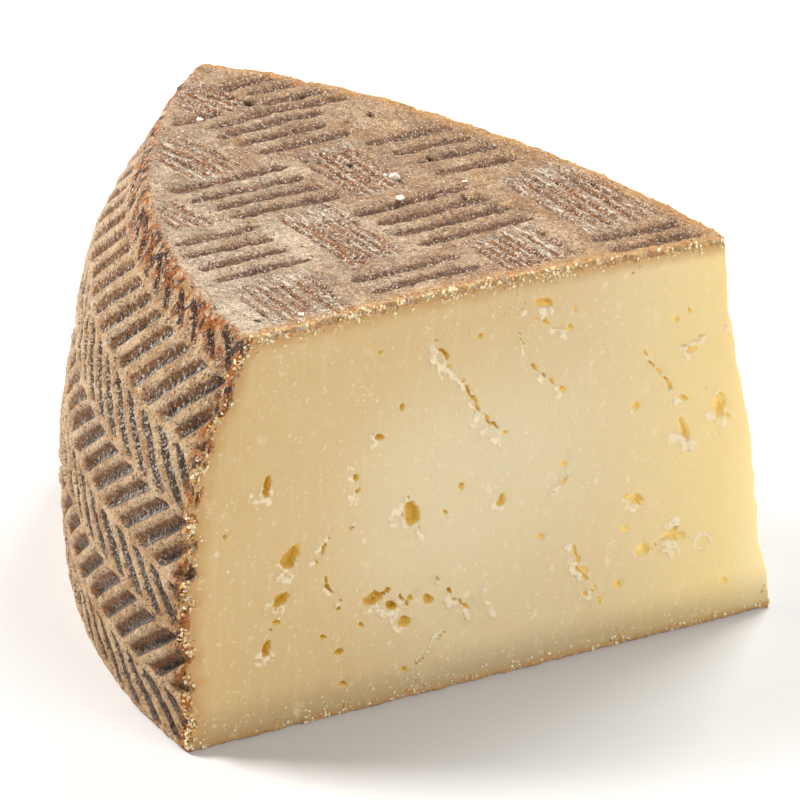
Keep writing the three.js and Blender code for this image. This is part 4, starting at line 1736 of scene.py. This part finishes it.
@dataclass(frozen=True)
class Studio:
    """Plain pale floor and soft light."""

    lights: tuple[Softbox, ...] = (
        Softbox("key", (0.19, 0.34, 0.52), 0.24, 3.3, (1.0, 0.985, 0.96)),
        Softbox("fill", (0.50, -0.54, 0.42), 0.6, 4.2),
        Softbox("side_light", (-0.56, 0.10, 0.52), 0.22, 7.2, (1.0, 0.975, 0.94)),
    )
    ambient: float = 0.16
    floor_grey: float = 0.78
    floor_roughness: float = 0.9
    floor_size: float = 4.0

    def build(self) -> bpy.types.Object:
        """Makes the floor, the lights and the ambient light.

        Returns:
            The floor.
        """
        for light in self.lights:
            light.build()
        world = bpy.data.worlds.new("world")
        world.use_nodes = True
        web = Web(world.node_tree)
        world.node_tree.nodes.clear()
        sky = web.node("ShaderNodeBackground", {"Color": (1, 1, 1, 1), "Strength": self.ambient})
        web.node("ShaderNodeOutputWorld", {"Surface": Wire(web, sky.outputs[0])})
        bpy.context.scene.world = world
        half = self.floor_size / 2
        corners = np.array([[-half, -half, 0], [half, -half, 0], [half, half, 0], [-half, half, 0]])
        mesh = mesh_from("floor", corners, np.array([[0, 1, 2], [0, 2, 3]]))
        floor = add_object("floor", mesh)
        material, web = blank_material("floor")
        grey = opaque((self.floor_grey,) * 3)
        close_material(web, web.surface({"Base Color": grey, "Roughness": self.floor_roughness}))
        mesh.materials.append(material)
        return floor


@dataclass(frozen=True)
class CheeseWedge:
    """The whole wedge: its skin and everything that lies loose on it."""

    skin: WedgeSkin = field(default_factory=WedgeSkin)
    finish: CheeseFinish = field(default_factory=CheeseFinish)
    crumb_finish: CrumbFinish = field(default_factory=CrumbFinish)
    flake_finish: CrumbFinish = CrumbFinish("flakes", srgb(232, 206, 158), srgb(250, 234, 206))
    dust_and_glint_finish: DustAndGlintFinish = field(default_factory=DustAndGlintFinish)
    loose_finish: CrumbFinish = CrumbFinish("loose_crumbs", srgb(240, 222, 200), srgb(250, 238, 222))
    edge_crumbs: Scatter = Scatter("edge_crumbs", 8.0, 0.2, 0.85, (1.0, 0.75, 0.55), 1, 5)
    cut_flakes: Scatter = Scatter("cut_flakes", 3.0, 0.15, 0.6, (1.0, 0.8, 0.35), 1, 6, 0.05)
    rind_dust_and_glints: Scatter = Scatter("rind_dust_and_glints", 0.18, 0.12, 0.26, (1.6, 0.7, 0.5), 1, 7)
    clear_of_floor: float = 0.65

    def weights(self, mesh: bpy.types.Mesh) -> tuple[Array, Array, Array]:
        """Works out how thickly the loose bits lie at each point of the skin.

        Args:
            mesh: The skin's mesh with its marks.

        Returns:
            The weights of the edge crumbs, of the cut flakes and of the rind dust and painted glints, from 0
            to 1.
        """
        names = ("rind_gap", "cut_gap", "torn", "hole", "pressed", "under")
        rind_gap, cut_gap, torn, hole, pressed, under = (mark_of(mesh, name) for name in names)
        points = points_of(mesh)
        x, _, z = points.T
        low = (vectors_of(mesh.vertex_normals, "vector")[:, 2] < -0.5) | (z < self.clear_of_floor)
        on_cut = np.exp(-((cut_gap / 0.5) ** 2))
        uneven = LatticeNoise(3).layered(points, 5.0, 3)
        clumps = LatticeNoise(4).layered(points, 2.2, 2)
        along_rind = np.exp(-(((rind_gap - 0.7) / 0.8) ** 2))
        edge = on_cut * along_rind * np.clip(0.3 + 0.6 * uneven + 1.1 * clumps, 0.02, 1)
        edge[low] = 0
        heap = (0.1 + 0.9 * np.exp(-(((x - 1.0) / 6.0) ** 2))) * np.exp(-((z - 1.4) ** 2) / 3.0)
        from_tears = (rind_gap > 2.0) * (0.006 + 0.6 * torn)
        flaky = on_cut * (1 - hole) * (from_tears + heap * np.clip(0.7 + uneven, 0, 1))
        flaky[low] = 0
        # the specks gather on the grooves' back walls, where the white ones stand in for glints as painted
        # highlights
        back = pressed * (1 - under)
        dust_and_glint = (rind_gap < 0.4) * (cut_gap > 0.5) * ~low * (0.15 + 0.85 * back)
        return edge, flaky, dust_and_glint

    def build(self) -> list[bpy.types.Object]:
        """Makes every piece of the wedge.

        Returns:
            The skin first, then the loose pieces.
        """
        skin = self.skin.build("wedge_skin")
        skin.data.materials.append(self.finish.material())
        edge, flaky, dust_and_glint = self.weights(skin.data)
        pieces = [skin]
        for scatter, weight, finish in (
            (self.edge_crumbs, edge, self.crumb_finish),
            (self.cut_flakes, flaky, self.flake_finish),
            (self.rind_dust_and_glints, dust_and_glint, self.dust_and_glint_finish),
        ):
            pieces.append(scatter.build(skin, weight, finish.material()))
        loose = LooseCrumbs().build("loose_crumbs", skin, self.skin.form)
        loose.data.materials.append(self.loose_finish.material())
        pieces.append(loose)
        for piece in pieces:
            report(piece)
        return pieces


def report(piece: bpy.types.Object) -> None:
    """Logs a piece's size."""
    log.info("%s: %d faces", piece.name, len(piece.data.polygons))


def main() -> None:
    """Builds the wedge and its studio in the frame."""
    logging.basicConfig(level=logging.INFO, format="%(name)s: %(message)s")
    bpy.context.scene.view_settings.view_transform = "Standard"
    pieces = CheeseWedge().build()
    for piece in pieces:
        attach(piece, "root")
    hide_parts("manchego_wedge")
    Studio().build()
    Viewpoint().build()


if __name__ == "__main__":
    main()
